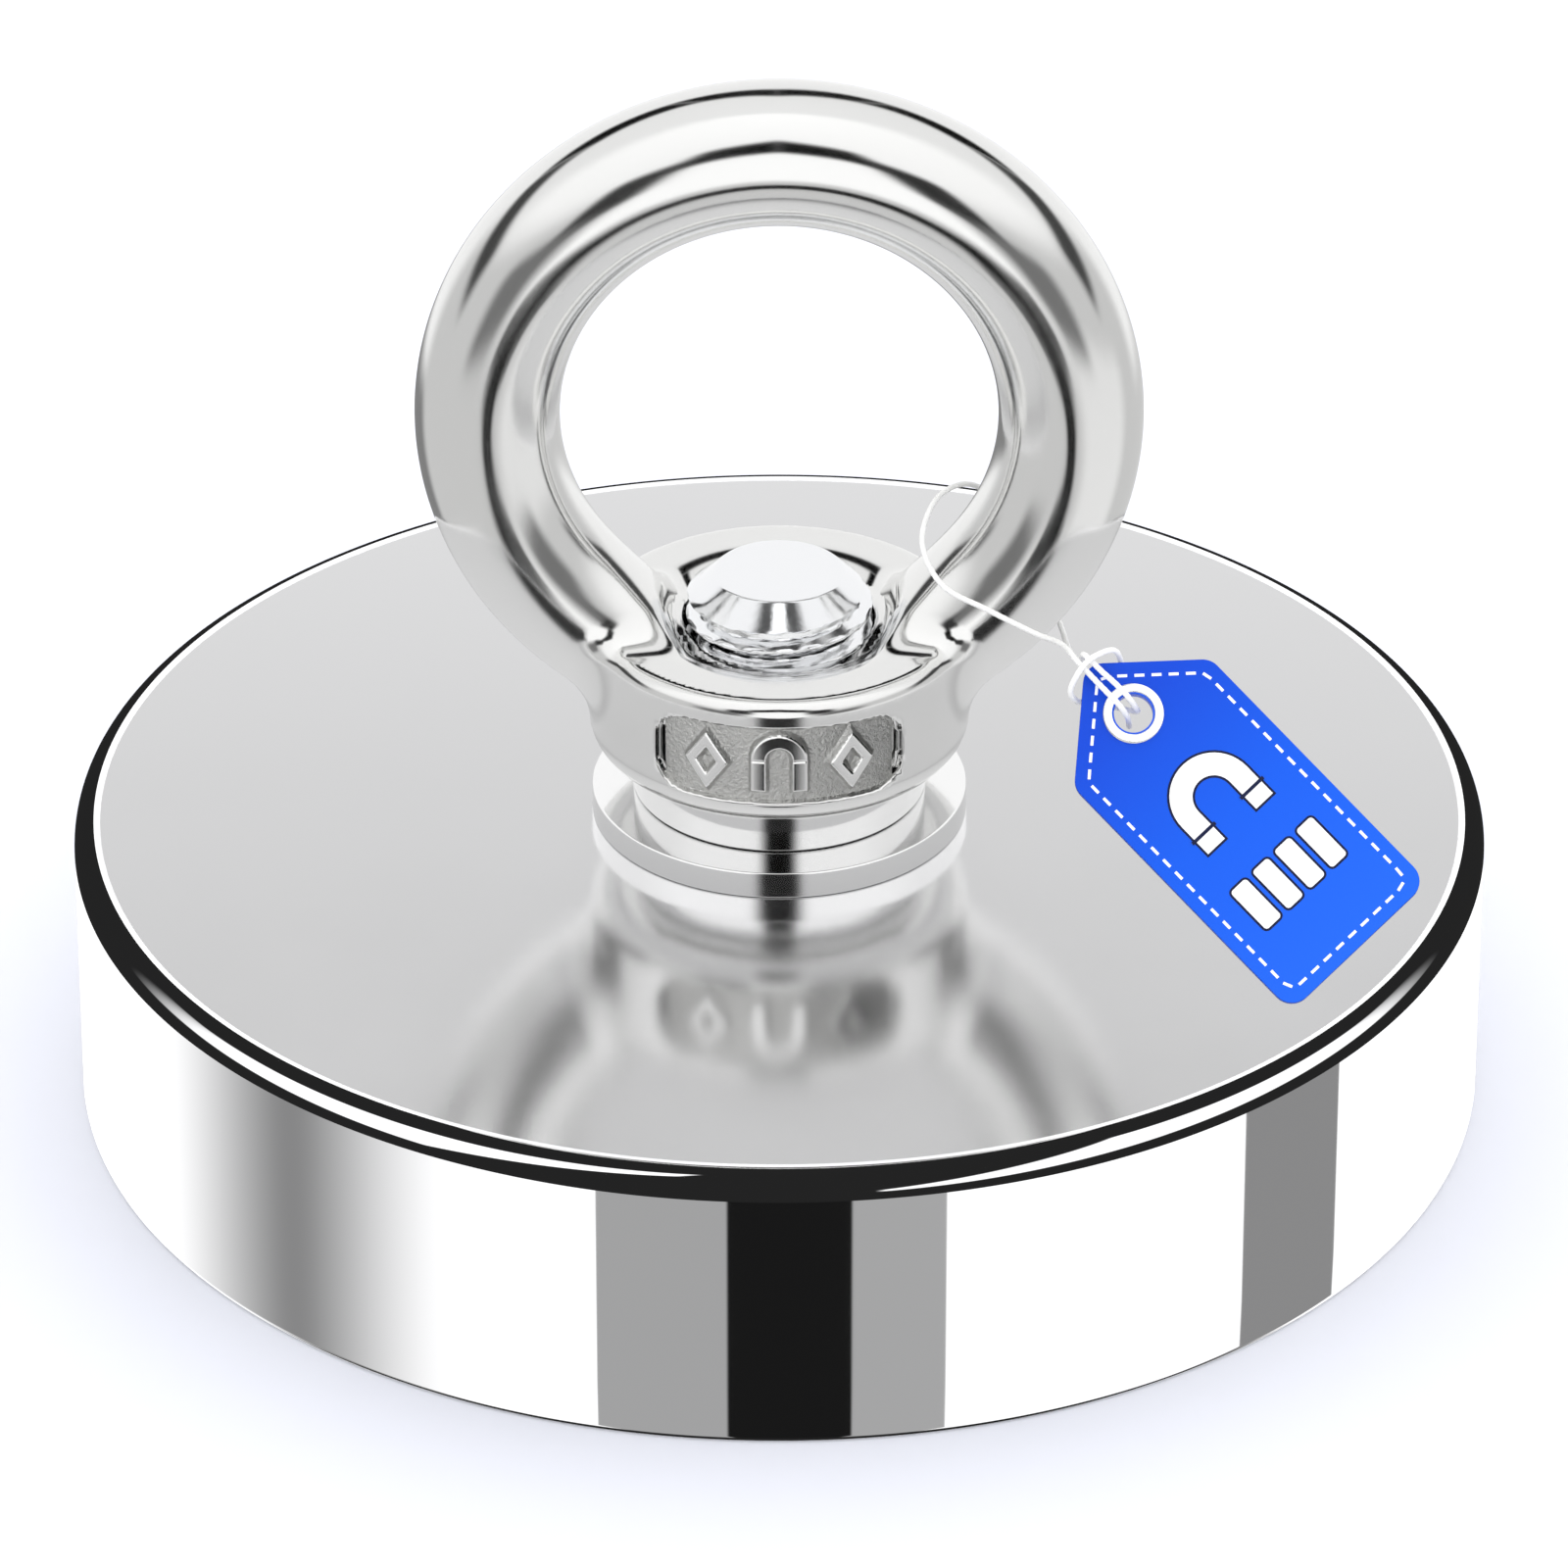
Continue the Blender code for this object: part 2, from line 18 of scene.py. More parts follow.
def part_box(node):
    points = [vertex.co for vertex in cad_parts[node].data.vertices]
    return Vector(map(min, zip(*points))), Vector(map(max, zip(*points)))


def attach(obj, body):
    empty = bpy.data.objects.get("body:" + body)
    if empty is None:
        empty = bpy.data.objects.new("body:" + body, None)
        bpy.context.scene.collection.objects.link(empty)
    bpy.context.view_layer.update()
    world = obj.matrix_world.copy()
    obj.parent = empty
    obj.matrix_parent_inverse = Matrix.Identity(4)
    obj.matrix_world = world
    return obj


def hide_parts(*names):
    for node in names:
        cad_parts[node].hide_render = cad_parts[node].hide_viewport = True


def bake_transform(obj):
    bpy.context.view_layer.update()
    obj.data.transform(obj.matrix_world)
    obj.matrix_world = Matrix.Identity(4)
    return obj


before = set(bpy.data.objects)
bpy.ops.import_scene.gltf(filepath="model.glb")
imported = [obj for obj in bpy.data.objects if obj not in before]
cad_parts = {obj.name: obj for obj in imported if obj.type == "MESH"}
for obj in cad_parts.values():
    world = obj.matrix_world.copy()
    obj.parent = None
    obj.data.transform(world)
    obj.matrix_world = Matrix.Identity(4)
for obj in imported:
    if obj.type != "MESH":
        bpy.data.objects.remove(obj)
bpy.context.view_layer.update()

MM = 0.001
cup_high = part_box("steel_cup")[1]
CUP_TOP = cup_high.z / MM
CUP_RADIUS = cup_high.x / MM
print(f"cup: {2 * CUP_RADIUS:.1f} mm across, {CUP_TOP:.1f} mm thick")

# %% [markdown]
# ## The camera
#
# The magnet is seen from straight in front and 30 degrees above, from almost a metre away with a long lens,
# so its round edges show as clean ellipses with little perspective. A tripod shot is framed the same way:
# the distance is chosen first, for the perspective, and then the lens, for the size in the frame.

# %% Camera
CAMERA_DISTANCE = 0.89
CAMERA_ELEVATION = radians(30.1)
LENS_MM = 240.2

target = Vector((0.4, 0, CUP_TOP + 1.8)) * MM
camera_data = bpy.data.cameras.new("studio_camera")
camera_data.lens = LENS_MM
camera_data.clip_start = 0.01
camera = bpy.data.objects.new("studio_camera", camera_data)
link = bpy.context.scene.collection.objects.link
link(camera)
towards_camera = Vector((0, -cos(CAMERA_ELEVATION), sin(CAMERA_ELEVATION)))
camera.location = target + towards_camera * CAMERA_DISTANCE
camera.rotation_euler = (-towards_camera).to_track_quat("-Z", "Y").to_euler()
bpy.context.scene.camera = camera
print("camera at", [round(x, 3) for x in camera.location])

# %% [markdown]
# ## Helpers for meshes
#
# Most of this object comes off a lathe, so the main helper turns a closed outline round an axis. Blender's
# Screw modifier could do it too, but a helper keeps the points in the script's hands. Soft edges need
# normals that favour the big faces, or a mirror finish shows a false gradient beside every round, so each
# piece gets the Weighted Normal modifier. Threads and cords are rings of points with faces between them, so
# another helper joins rings. All of these sizes are in millimetres, and become metres only when the mesh is
# made.


# %% Making a mesh, and placing it as a piece
def mesh_of(points, faces):
    """A mesh from points in millimetres, with its normals facing out."""
    mesh = bpy.data.meshes.new("piece")
    in_metres = [[float(x) * MM for x in p] for p in points]
    mesh.from_pydata(in_metres, [], [[int(i) for i in f] for f in faces])
    shape = bmesh.new()
    shape.from_mesh(mesh)
    bmesh.ops.remove_doubles(shape, verts=shape.verts, dist=1e-7)
    bmesh.ops.dissolve_degenerate(shape, edges=shape.edges, dist=1e-8)
    bmesh.ops.recalc_face_normals(shape, faces=shape.faces)
    shape.to_mesh(mesh)
    shape.free()
    return mesh


def put(name, mesh, body, material, stands_for=(), sharp=32):
    """Links a mesh as a piece that rides on a body. Edges sharper than that many degrees stay crisp."""
    mesh.name = name
    obj = bpy.data.objects.new(name, mesh)
    link(obj)
    mesh.materials.append(material)
    if sharp:
        mesh.shade_smooth()
        mesh.set_sharp_from_angle(angle=radians(sharp))
        weigh = obj.modifiers.new("favour_big_faces", "WEIGHTED_NORMAL")
        weigh.keep_sharp = True
        weigh.weight = 100
    if body:
        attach(obj, body)
    if stands_for:
        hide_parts(*stands_for)
    return obj


# %% Outlines: arcs, and corners made soft
def arc(centre, width, height, start, end, steps=8):
    """Points on part of an ellipse, between two angles in degrees."""
    angles = [radians(start + (end - start) * i / steps) for i in range(steps + 1)]
    return [(centre[0] + width * cos(a), centre[1] + height * sin(a)) for a in angles]


def soft_corners(corners, radius, steps=5):
    """A closed outline with each corner turned into an arc. The radius may be one for all, or a list."""
    radii = radius if hasattr(radius, "__len__") else [radius] * len(corners)
    points = []
    for i, corner in enumerate(corners):
        here = Vector(corner)
        before = (Vector(corners[i - 1]) - here).normalized()
        after = (Vector(corners[(i + 1) % len(corners)]) - here).normalized()
        half = before.angle(after) / 2
        if not radii[i] or half > pi / 2 - 0.02:
            points.append(here)
            continue
        centre = here + (before + after).normalized() * (radii[i] / sin(half))
        first = here + before * (radii[i] / tan(half)) - centre
        way = 1 if before.x * after.y - before.y * after.x < 0 else -1
        sweep = way * (pi - 2 * half)
        points += [centre + Matrix.Rotation(sweep * k / steps, 2) @ first for k in range(steps + 1)]
    return [(p[0], p[1]) for p in points]


# %% Skins: turned shapes, and rings of points joined up
def between_rows(count, rows, joined=False):
    """Faces between neighbouring rings of points, each of them count long. The last can join the first."""
    faces = []
    for row in range(rows if joined else rows - 1):
        here = row * count
        there = (row + 1) % rows * count
        for k in range(count):
            on = (k + 1) % count
            faces.append((here + k, there + k, there + on, here + on))
    return faces


def lathe(outline, steps=256):
    """Turns a closed outline of (radius, height) round the Z axis. Points on the axis are welded."""
    points = []
    for i in range(steps):
        a = 2 * pi * i / steps
        points += [(r * cos(a), r * sin(a), z) for r, z in outline]
    return mesh_of(points, between_rows(len(outline), steps, joined=True))


def capped(rows):
    """A mesh through rings of points, with a face over either end."""
    count = len(rows[0])
    points = [p for row in rows for p in row]
    ends = [tuple(range(count)), tuple(range(len(points) - count, len(points)))]
    return mesh_of(points, between_rows(count, len(rows)) + ends)


# %% [markdown]
# ## Helpers for materials
#
# Colours are written as the hex values of a colour picker, and one function turns them into the linear
# numbers that a shader needs. Another adds a node: its settings by name, and its sockets from a dictionary,
# where a value is set on the socket and another node's output is linked to it. Most finishes here are a
# smooth surface that one noise makes a little hazier in places, and a little uneven, so a third function
# makes such a finish.


# %% Colours and nodes
def linear(hex_colour):
    """The linear RGBA of an sRGB colour written as RRGGBB."""
    parts = [int(hex_colour[i : i + 2], 16) / 255 for i in (0, 2, 4)]
    return (*[c / 12.92 if c <= 0.04045 else ((c + 0.055) / 1.055) ** 2.4 for c in parts], 1)


def add(tree, kind, sockets=None, stops=None, **settings):
    """Adds a node with its settings, its sockets' values or links, and, on a ramp, its stops."""
    node = tree.nodes.new(f"ShaderNode{kind}")
    for key, value in settings.items():
        setattr(node, key, value)
    for key, value in (sockets or {}).items():
        if isinstance(value, bpy.types.NodeSocket):
            tree.links.new(value, node.inputs[key])
        else:
            node.inputs[key].default_value = value
    for i, (position, colour) in enumerate(stops or ()):
        elements = node.color_ramp.elements
        element = elements[i] if i < len(elements) else elements.new(position)
        element.position = position
        element.color = colour if hasattr(colour, "__len__") else (colour, colour, colour, 1)
    return node


def material(name, **sockets):
    """A material with one Principled BSDF, whose sockets are named with _ for a space."""
    made = bpy.data.materials.new(name)
    made.use_nodes = True
    tree = made.node_tree
    tree.nodes.clear()
    named = {key.replace("_", " "): value for key, value in sockets.items()}
    surface = add(tree, "BsdfPrincipled", named)
    add(tree, "OutputMaterial", {"Surface": surface.outputs["BSDF"]})
    return made, tree, surface


# %% A finish that one noise makes uneven
def finish(name, colour, grain, haze=None, bump=None, swell=None, **sockets):
    """A material with a noise in its roughness and its surface.

    A grain is its width in millimetres, its detail and its raggedness. The haze is the part of the noise that
    counts, then the roughness at its two ends. The bump is a strength and a depth in metres, and follows the
    swell if there is one.
    """
    made, tree, surface = material(name, Base_Color=linear(colour), **sockets)
    place = add(tree, "TexCoord").outputs["Object"]
    noises = []
    for width, detail, ragged in (grain, swell) if swell else (grain,):
        pattern = {"Vector": place, "Scale": 1000 / width, "Detail": detail, "Roughness": ragged}
        noises.append(add(tree, "TexNoise", pattern).outputs["Fac"])
    if haze:
        amount = add(tree, "MapRange", {"Value": noises[0], **dict(enumerate(haze, 1))})
        tree.links.new(amount.outputs["Result"], surface.inputs["Roughness"])
    if bump:
        strength, depth = bump
        relief = add(tree, "Bump", {"Height": noises[-1], "Strength": strength, "Distance": depth})
        tree.links.new(relief.outputs["Normal"], surface.inputs["Normal"])
    return made


# %% [markdown]
# ## The metals
#
# Bright nickel plate is almost a mirror: the surface comes from the bath as smooth as the polished steel
# under it, with a faint haze and the odd wipe mark. So its colour is a light warm grey, its roughness is
# very low, and one noise a few centimetres wide varies the haze. The top of the cup is ground before
# plating and keeps a little more haze than the turned wall, which is why the eye nut's reflection in it is
# soft. The narrow land at its edge is left as the blasting made it, so the plate there is frosted, and
# almost white.
#
# Cast and polished stainless is a mirror too, but a hand-held wheel leaves it slightly wavy. A broad, very
# shallow bump does that, and a fine one inside the cast panel gives the grainy ground that no wheel
# reaches.


# %% Nickel plate on the steel cup: over turned, ground and blasted steel
HAND_WIPED = (25, 4.0, 0.5)
nickel_wall, nickel_top, frosted_nickel = (
    finish(name, "EEEEEF", HAND_WIPED, (0.3, 0.7, smoothest, roughest), Metallic=1.0)
    for name, smoothest, roughest in (
        ("bright_nickel_turned", 0.015, 0.03), ("bright_nickel_ground", 0.13, 0.17),
        ("frosted_nickel_land", 0.5, 0.6),
    )
)

# %% Stainless: cast and polished, as cast in the sunk panel, and turned for the washers
polished_stainless = finish(
    "stainless_cast_polished", "E9E9E8", (11.1, 3.0, 0.5), (0.3, 0.7, 0.09, 0.13), bump=(0.12, 0.001),
    swell=(14.3, 1.0, 0.5), Metallic=1.0,
)
# Moulding sand is 0.2 mm across; it is drawn twice as coarse, so that it shows.
cast_ground = finish(
    "stainless_as_cast", "C6C6C4", (0.385, 3.0, 0.65), (0.35, 0.65, 0.28, 0.5), bump=(0.75, 0.0003),
    Metallic=1.0,
)
# Stamped and tumbled with stones: bright, with scuffs that dull it a little.
turned_stainless = finish("stainless_turned", "E6E6E6", (1.67, 3.0, 0.5), (0.3, 0.7, 0.08, 0.1), Metallic=1.0)

# %% Bright zinc plate on the screw, satin nickel plate on the magnet, and black resin
# Zinc grows as crystals too small to see, so they are drawn a millimetre wide: bluish, not quite a mirror.
zinc = finish(
    "zinc_plated_screw", "F2F3F5", (1.11, 4.0, 0.5), (0.35, 0.65, 0.07, 0.14), bump=(0.05, 0.0002),
    Metallic=1.0,
)
# A sintered magnet is porous and is plated in a barrel, so its nickel stays satin.
magnet_nickel = finish(
    "satin_nickel_on_magnet", "C3C1BC", (0.714, 5.0, 0.5), (0.3, 0.7, 0.22, 0.4), bump=(0.25, 0.0002),
    Metallic=1.0,
)
# Poured epoxy sets level and glossy, with shallow ripples.
resin = finish("epoxy_resin_cast", "17171A", (2.86, 2.0, 0.5), bump=(0.35, 0.0004), Roughness=0.3)
print("finishes:", [made.name for made in bpy.data.materials])

# %% [markdown]
# ## The steel cup
#
# The cup is one turned piece: a thick disc with an outer wall and a central pole, and a groove between them
# for the magnet. Its top edge is rounded over. The top face is ground, and the grinding stops just short of
# the round: it leaves a land half a millimetre wide and a tenth of a millimetre high, which shows as a fine
# white line all along the edge. The face, the land, the round and the wall are four pieces here, because
# each is lit in its own way, and a light can only be linked to a whole piece. They touch, with small
# overlaps under the surface.

# %% Cup
EDGE_WIDTH, EDGE_DROP = 1.7, 2.3
LAND_WIDTH, STEP_RISE = 0.55, 0.1
GROOVE_INNER, GROOVE_OUTER, GROOVE_DEPTH = 22, 54.5, 15.5
HOLE, SINK, SINK_RISE = 8.45, 15.9, 1.2
FOOT_ROUND, RIM_ROUND = 0.6, 0.25
OVERLAP = 0.02
CUP_STEPS = 360

flat_end = CUP_RADIUS - EDGE_WIDTH
land_start = flat_end - LAND_WIDTH
below_edge = CUP_TOP - EDGE_DROP
ground_level = CUP_TOP - STEP_RISE
top_outline = [
    (HOLE, ground_level),
    (land_start, ground_level),
    (land_start, below_edge),
    (HOLE, below_edge),
]
land_outline = [
    (land_start, ground_level),
    (land_start + STEP_RISE, CUP_TOP),
    (flat_end, CUP_TOP),
    (flat_end, below_edge),
    (land_start, below_edge),
]
edge_outline = [
    *arc((flat_end, below_edge), EDGE_WIDTH, EDGE_DROP, 90, 0, 24),
    (CUP_RADIUS - 0.4, below_edge - OVERLAP),
    (flat_end - 0.1, below_edge + 0.1),
]
wall_outline = [
    (HOLE, below_edge - OVERLAP),
    (CUP_RADIUS - 0.2, below_edge - OVERLAP),
    (CUP_RADIUS, below_edge),
    (CUP_RADIUS, 5),
    *arc((CUP_RADIUS - FOOT_ROUND, FOOT_ROUND), FOOT_ROUND, FOOT_ROUND, 0, -90, 6),
    *arc((GROOVE_OUTER + RIM_ROUND, RIM_ROUND), RIM_ROUND, RIM_ROUND, -90, -180, 3),
    (GROOVE_OUTER, GROOVE_DEPTH),
    (GROOVE_INNER, GROOVE_DEPTH),
    *arc((GROOVE_INNER - RIM_ROUND, RIM_ROUND), RIM_ROUND, RIM_ROUND, 0, -90, 3),
    *arc((SINK + RIM_ROUND, RIM_ROUND), RIM_ROUND, RIM_ROUND, -90, -180, 3),
    (SINK, SINK_RISE),
    (HOLE, SINK_RISE + SINK - HOLE),
]
for name, outline, plate_finish, stands_for, sharp in (
    ("cup_top_face", top_outline, nickel_top, (), 5),
    ("cup_ground_land", land_outline, frosted_nickel, (), 5),
    ("cup_rounded_edge", edge_outline, nickel_wall, (), 40),
    ("cup_wall", wall_outline, nickel_wall, ("steel_cup",), 32),
):
    put(name, lathe(outline, CUP_STEPS), "magnet", plate_finish, stands_for, sharp)
print(f"land: {LAND_WIDTH} mm wide, from {land_start:.2f} mm out")

# %% [markdown]
# ## The magnet and its resin
#
# A sintered ring magnet is brittle, so its edges are chamfered, and it is glued into the groove a little
# below the steel rim, which takes the knocks. Black resin fills the gaps on both sides and sets with a
# slightly dished surface. They are turned shapes again, and only show from below.

# %% Ring magnet and resin
magnet_outline = soft_corners([(24.5, 15.2), (52, 15.2), (52, 0.5), (24.5, 0.5)], 0.8, 5)
put("ring_magnet_plated", lathe(magnet_outline), "magnet", magnet_nickel, ("ring_magnet",))
for name, inner, outer in (("potting_outer", 52.05, 54.45), ("potting_inner", 22.05, 24.45)):
    middle = (inner + outer) / 2
    dish = arc((middle, 0.72), (outer - inner) / 2, 0.34, 0, 180, 12)
    section = [(inner, 13.8), (outer, 13.8), *dish]
    put(f"{name}_resin", lathe(section), "magnet", resin, (name,))
    print(f"{name}: {outer - inner:.1f} mm wide")

# %% [markdown]
# ## The screw
#
# The screw comes up through the cup from its working face, where its countersunk head sits flush with a hex
# socket. Its thread is cut, not drawn on: each point's distance from the axis follows a 60 degree thread
# form that climbs one pitch in a turn, and the chamfer at the tip is a cone that everything stays inside.
# The same rule would take a Screw modifier and a Boolean; as one grid of points it has no seams and needs
# no clean-up.

# %% Threaded shank
SCREW_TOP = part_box("countersunk_screw")[1].z / MM
PITCH = 2.0
THREAD_RADIUS = 7.85
THREAD_DEPTH = 1.0
TIP_FLAT = 5.2


def thread_reach(height, turn):
    """The distance from the axis to a cut thread at a height and an angle, both as arrays."""
    climb = (height / PITCH - turn / (2 * pi)) % 1
    from_crest = np.abs(climb - 0.5) * PITCH
    flank = (from_crest - 0.14) * tan(radians(60))
    cut = THREAD_RADIUS - np.clip(flank, 0, THREAD_DEPTH)
    cone = TIP_FLAT + 0.12 + (SCREW_TOP - height) * 1.08
    return np.minimum(cut, cone)


heights = np.arange(9.0, SCREW_TOP - 0.05, 0.1)
turns = np.arange(144) * 2 * pi / 144
rows = [[(TIP_FLAT * cos(a) * k, TIP_FLAT * sin(a) * k, SCREW_TOP + z) for a in turns]
        for k, z in ((0.5, 0), (0.96, 0), (1.0, -0.02))]
for height in heights[::-1]:
    reach = thread_reach(height, turns)
    rows.append([(r * cos(a), r * sin(a), height) for a, r in zip(turns, reach)])
put("screw_thread", capped(rows), "magnet", zinc, (), 40)
print("thread rings:", len(rows))

# %% Countersunk head with its hex socket
HEAD_RADIUS, HEAD_FACE, SOCKET_DEPTH, SOCKET_FLATS = 15.3, 0.8, 7.5, 10


def hexagon(flats, turn):
    """The distance from the centre to the side of a hexagon, in a direction."""
    return flats / 2 / np.cos((turn + pi / 6) % (pi / 3) - pi / 6)


turns = np.arange(180) * 2 * pi / 180
hexed = hexagon(SOCKET_FLATS, turns)
steps = [  # radius, or none where it is the hexagon, and height
    (0.02, HEAD_FACE + SOCKET_DEPTH + 1.2), (None, HEAD_FACE + SOCKET_DEPTH), (None, HEAD_FACE + 0.7),
    (6.1, HEAD_FACE + 0.25), (6.6, HEAD_FACE), (11.2, HEAD_FACE),
    (11.3, HEAD_FACE + 0.06), (11.6, HEAD_FACE + 0.06), (11.7, HEAD_FACE), (14.9, HEAD_FACE),
    (15.2, HEAD_FACE + 0.1), (HEAD_RADIUS, HEAD_FACE + 0.35), (HEAD_RADIUS, HEAD_FACE + 0.4), (7.6, 9.1),
]
rows = []
for radius, height in steps:
    reach = hexed if radius is None else np.full(len(turns), float(radius))
    rows.append([(r * cos(a), r * sin(a), height) for a, r in zip(turns, reach)])
put("screw_head", capped(rows), "magnet", zinc, ("countersunk_screw",), 28)
print(f"head: {2 * HEAD_RADIUS} mm across, {SOCKET_FLATS} mm socket")

# %% [markdown]
# ## The washers
#
# Both washers are stainless. The flat one is stamped and tumbled, so its edges are broken with a small
# round. The lock washer is a split spring ring: its section is square, and its two ends are cut on a slant.
# It is swept round the axis with start and end angles that depend on the height, which makes the slanted
# cut without a Boolean. The slant fades out within 30 degrees, so that the rest of the ring has upright
# edges and clean reflections.

# %% Flat washer
WASHER_HOLE, FLAT_WASHER_RADIUS, LOCK_WASHER_RADIUS = 8.4, 15.9, 12.4


def washer_section(outer, low, high, corner):
    """The section of a washer with its corners broken."""
    return soft_corners([(WASHER_HOLE, high), (outer, high), (outer, low), (WASHER_HOLE, low)], corner, 4)


flat_section = washer_section(FLAT_WASHER_RADIUS, CUP_TOP - 0.08, CUP_TOP + 2.3, 0.16)
put("flat_washer_tumbled", lathe(flat_section), "magnet", turned_stainless, ("flat_washer",))

# %% Split lock washer
SPLIT_AT, SPLIT_WIDTH, SPLIT_LEAN, FADE_DEGREES = radians(112), 1.2, radians(35), 30
SWEEP_STEPS = 180
lock_low, lock_high = CUP_TOP + 2.36, CUP_TOP + 6.32
middle_radius = (WASHER_HOLE + LOCK_WASHER_RADIUS) / 2
middle_height = (lock_low + lock_high) / 2
half_gap = SPLIT_WIDTH / 2 / cos(SPLIT_LEAN) / middle_radius
rows = []
for i in range(SWEEP_STEPS + 1):
    from_the_split = min(i, SWEEP_STEPS - i) * 360 / SWEEP_STEPS
    fade = max(0, 1 - from_the_split / FADE_DEGREES)
    row = []
    for radius, height in washer_section(LOCK_WASHER_RADIUS, lock_low, lock_high, 0.22):
        slant = (height - middle_height) * tan(SPLIT_LEAN) / middle_radius * fade
        a = SPLIT_AT - slant + half_gap + (2 * pi - 2 * half_gap) * i / SWEEP_STEPS
        row.append((radius * cos(a), radius * sin(a), height))
    rows.append(row)
put("lock_washer_split", capped(rows), "lock_washer", turned_stainless, ("lock_washer",))
print(f"lock washer: {lock_high - lock_low:.2f} mm high, split {SPLIT_WIDTH} mm wide")

# %% [markdown]
# ## The eye nut
#
# The eye nut is cast in one piece, so the ring flows into the collar with soft fillets, and then it is
# polished. A union of a torus and a cylinder gives a hard seam there, and a bevel on that seam is fragile.
# A distance field has no such trouble: it is a function that says how far any point is from the surface,
# two shapes join through a smooth minimum, and the smoothing length is the fillet. The mesh is then read
# off the field: one point in every cell of a grid that the surface crosses, pulled onto it along the
# field's gradient. The gradient also gives exact normals, which a mirror finish needs.

# %% The field of the eye nut
nut_low, nut_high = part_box("eye_nut")
COLLAR_RADIUS, COLLAR_LOW, COLLAR_HIGH = 16.1, nut_low.z / MM, CUP_TOP + 18.6
RING_RADIUS, RING_TUBE = 24.34, 6.06
RING_CENTRE = nut_high.z / MM - RING_RADIUS - RING_TUBE
COLLAR_MIDDLE, COLLAR_HALF = (COLLAR_LOW + COLLAR_HIGH) / 2, (COLLAR_HIGH - COLLAR_LOW) / 2
FUNNEL_RADIUS, FUNNEL_SLOPE, FUNNEL_HEIGHT = 9.0, 0.38, 9
BORE_RADIUS, BORE_TOP, BORE_FOOT = 8.1, 8.3, 8.9
PANEL_CENTRE = COLLAR_MIDDLE + 0.2
PANEL_HALF = (10.2, 3.5)
PANEL_CORNER = 2.6


def join(a, b, fillet):
    """The smooth minimum of two distances: the union of two shapes, with a fillet between them."""
    share = np.clip(0.5 + 0.5 * (b - a) / fillet, 0, 1)
    return b * (1 - share) + a * share - fillet * share * (1 - share)


def cut(a, b, fillet):
    """The first shape less the second, with a rounded edge."""
    return -join(-a, b, fillet)


def soft_box(x, y, half_x, half_y, radius):
    """The distance to a rounded rectangle."""
    past_x, past_y = np.abs(x) - half_x + radius, np.abs(y) - half_y + radius
    outside = np.hypot(np.maximum(past_x, 0), np.maximum(past_y, 0))
    return outside + np.minimum(np.maximum(past_x, past_y), 0) - radius


def eye_nut_field(p):
    """Millimetres from each point to the eye nut, negative inside it."""
    x, y, z = p[..., 0], p[..., 1], p[..., 2]
    out = np.hypot(x, y)
    ring = np.hypot(np.hypot(x, z - RING_CENTRE) - RING_RADIUS, y) - RING_TUBE
    rounding = np.where(z < COLLAR_MIDDLE, 3.0, 1.3)
    collar = soft_box(out, z - COLLAR_MIDDLE, COLLAR_RADIUS, COLLAR_HALF, rounding)
    body = np.maximum(join(ring, collar, 2.4), COLLAR_LOW - z)
    # The flat round the screw, and the hollow above it that opens between the ring's feet.
    over = z - COLLAR_HIGH
    funnel = np.maximum(out - FUNNEL_RADIUS - FUNNEL_SLOPE * over, -over) * 0.93
    body = cut(body, np.maximum(funnel, over - FUNNEL_HEIGHT), 3.0)
    # The threaded hole, with a chamfer at either end.
    bore = np.minimum(out - BORE_RADIUS, (out - over - BORE_TOP) * 0.7)
    bore = np.minimum(bore, (out + z - COLLAR_LOW - BORE_FOOT) * 0.7)
    body = cut(body, np.maximum(bore, over - 1.5), 0.3)
    panel = soft_box(x, z - PANEL_CENTRE, PANEL_HALF[0], PANEL_HALF[1], PANEL_CORNER)
    panel = np.maximum(np.maximum(panel, COLLAR_RADIUS - 0.9 - out), y + 4)
    return cut(body, panel, 0.3)


# %% Reading a mesh off a field
def slope_of(field, points, width=0.01):
    """The field's gradient at each point."""
    steps = np.eye(3) * width
    return np.stack([field(points + s) - field(points - s) for s in steps], -1) / (2 * width)


def pulled_on(field, points, times):
    """Points moved along the gradient until they lie on the surface."""
    for _ in range(times):
        slope = slope_of(field, points)
        points = points - slope * (field(points) / np.maximum((slope**2).sum(-1), 0.05))[:, None]
    return points


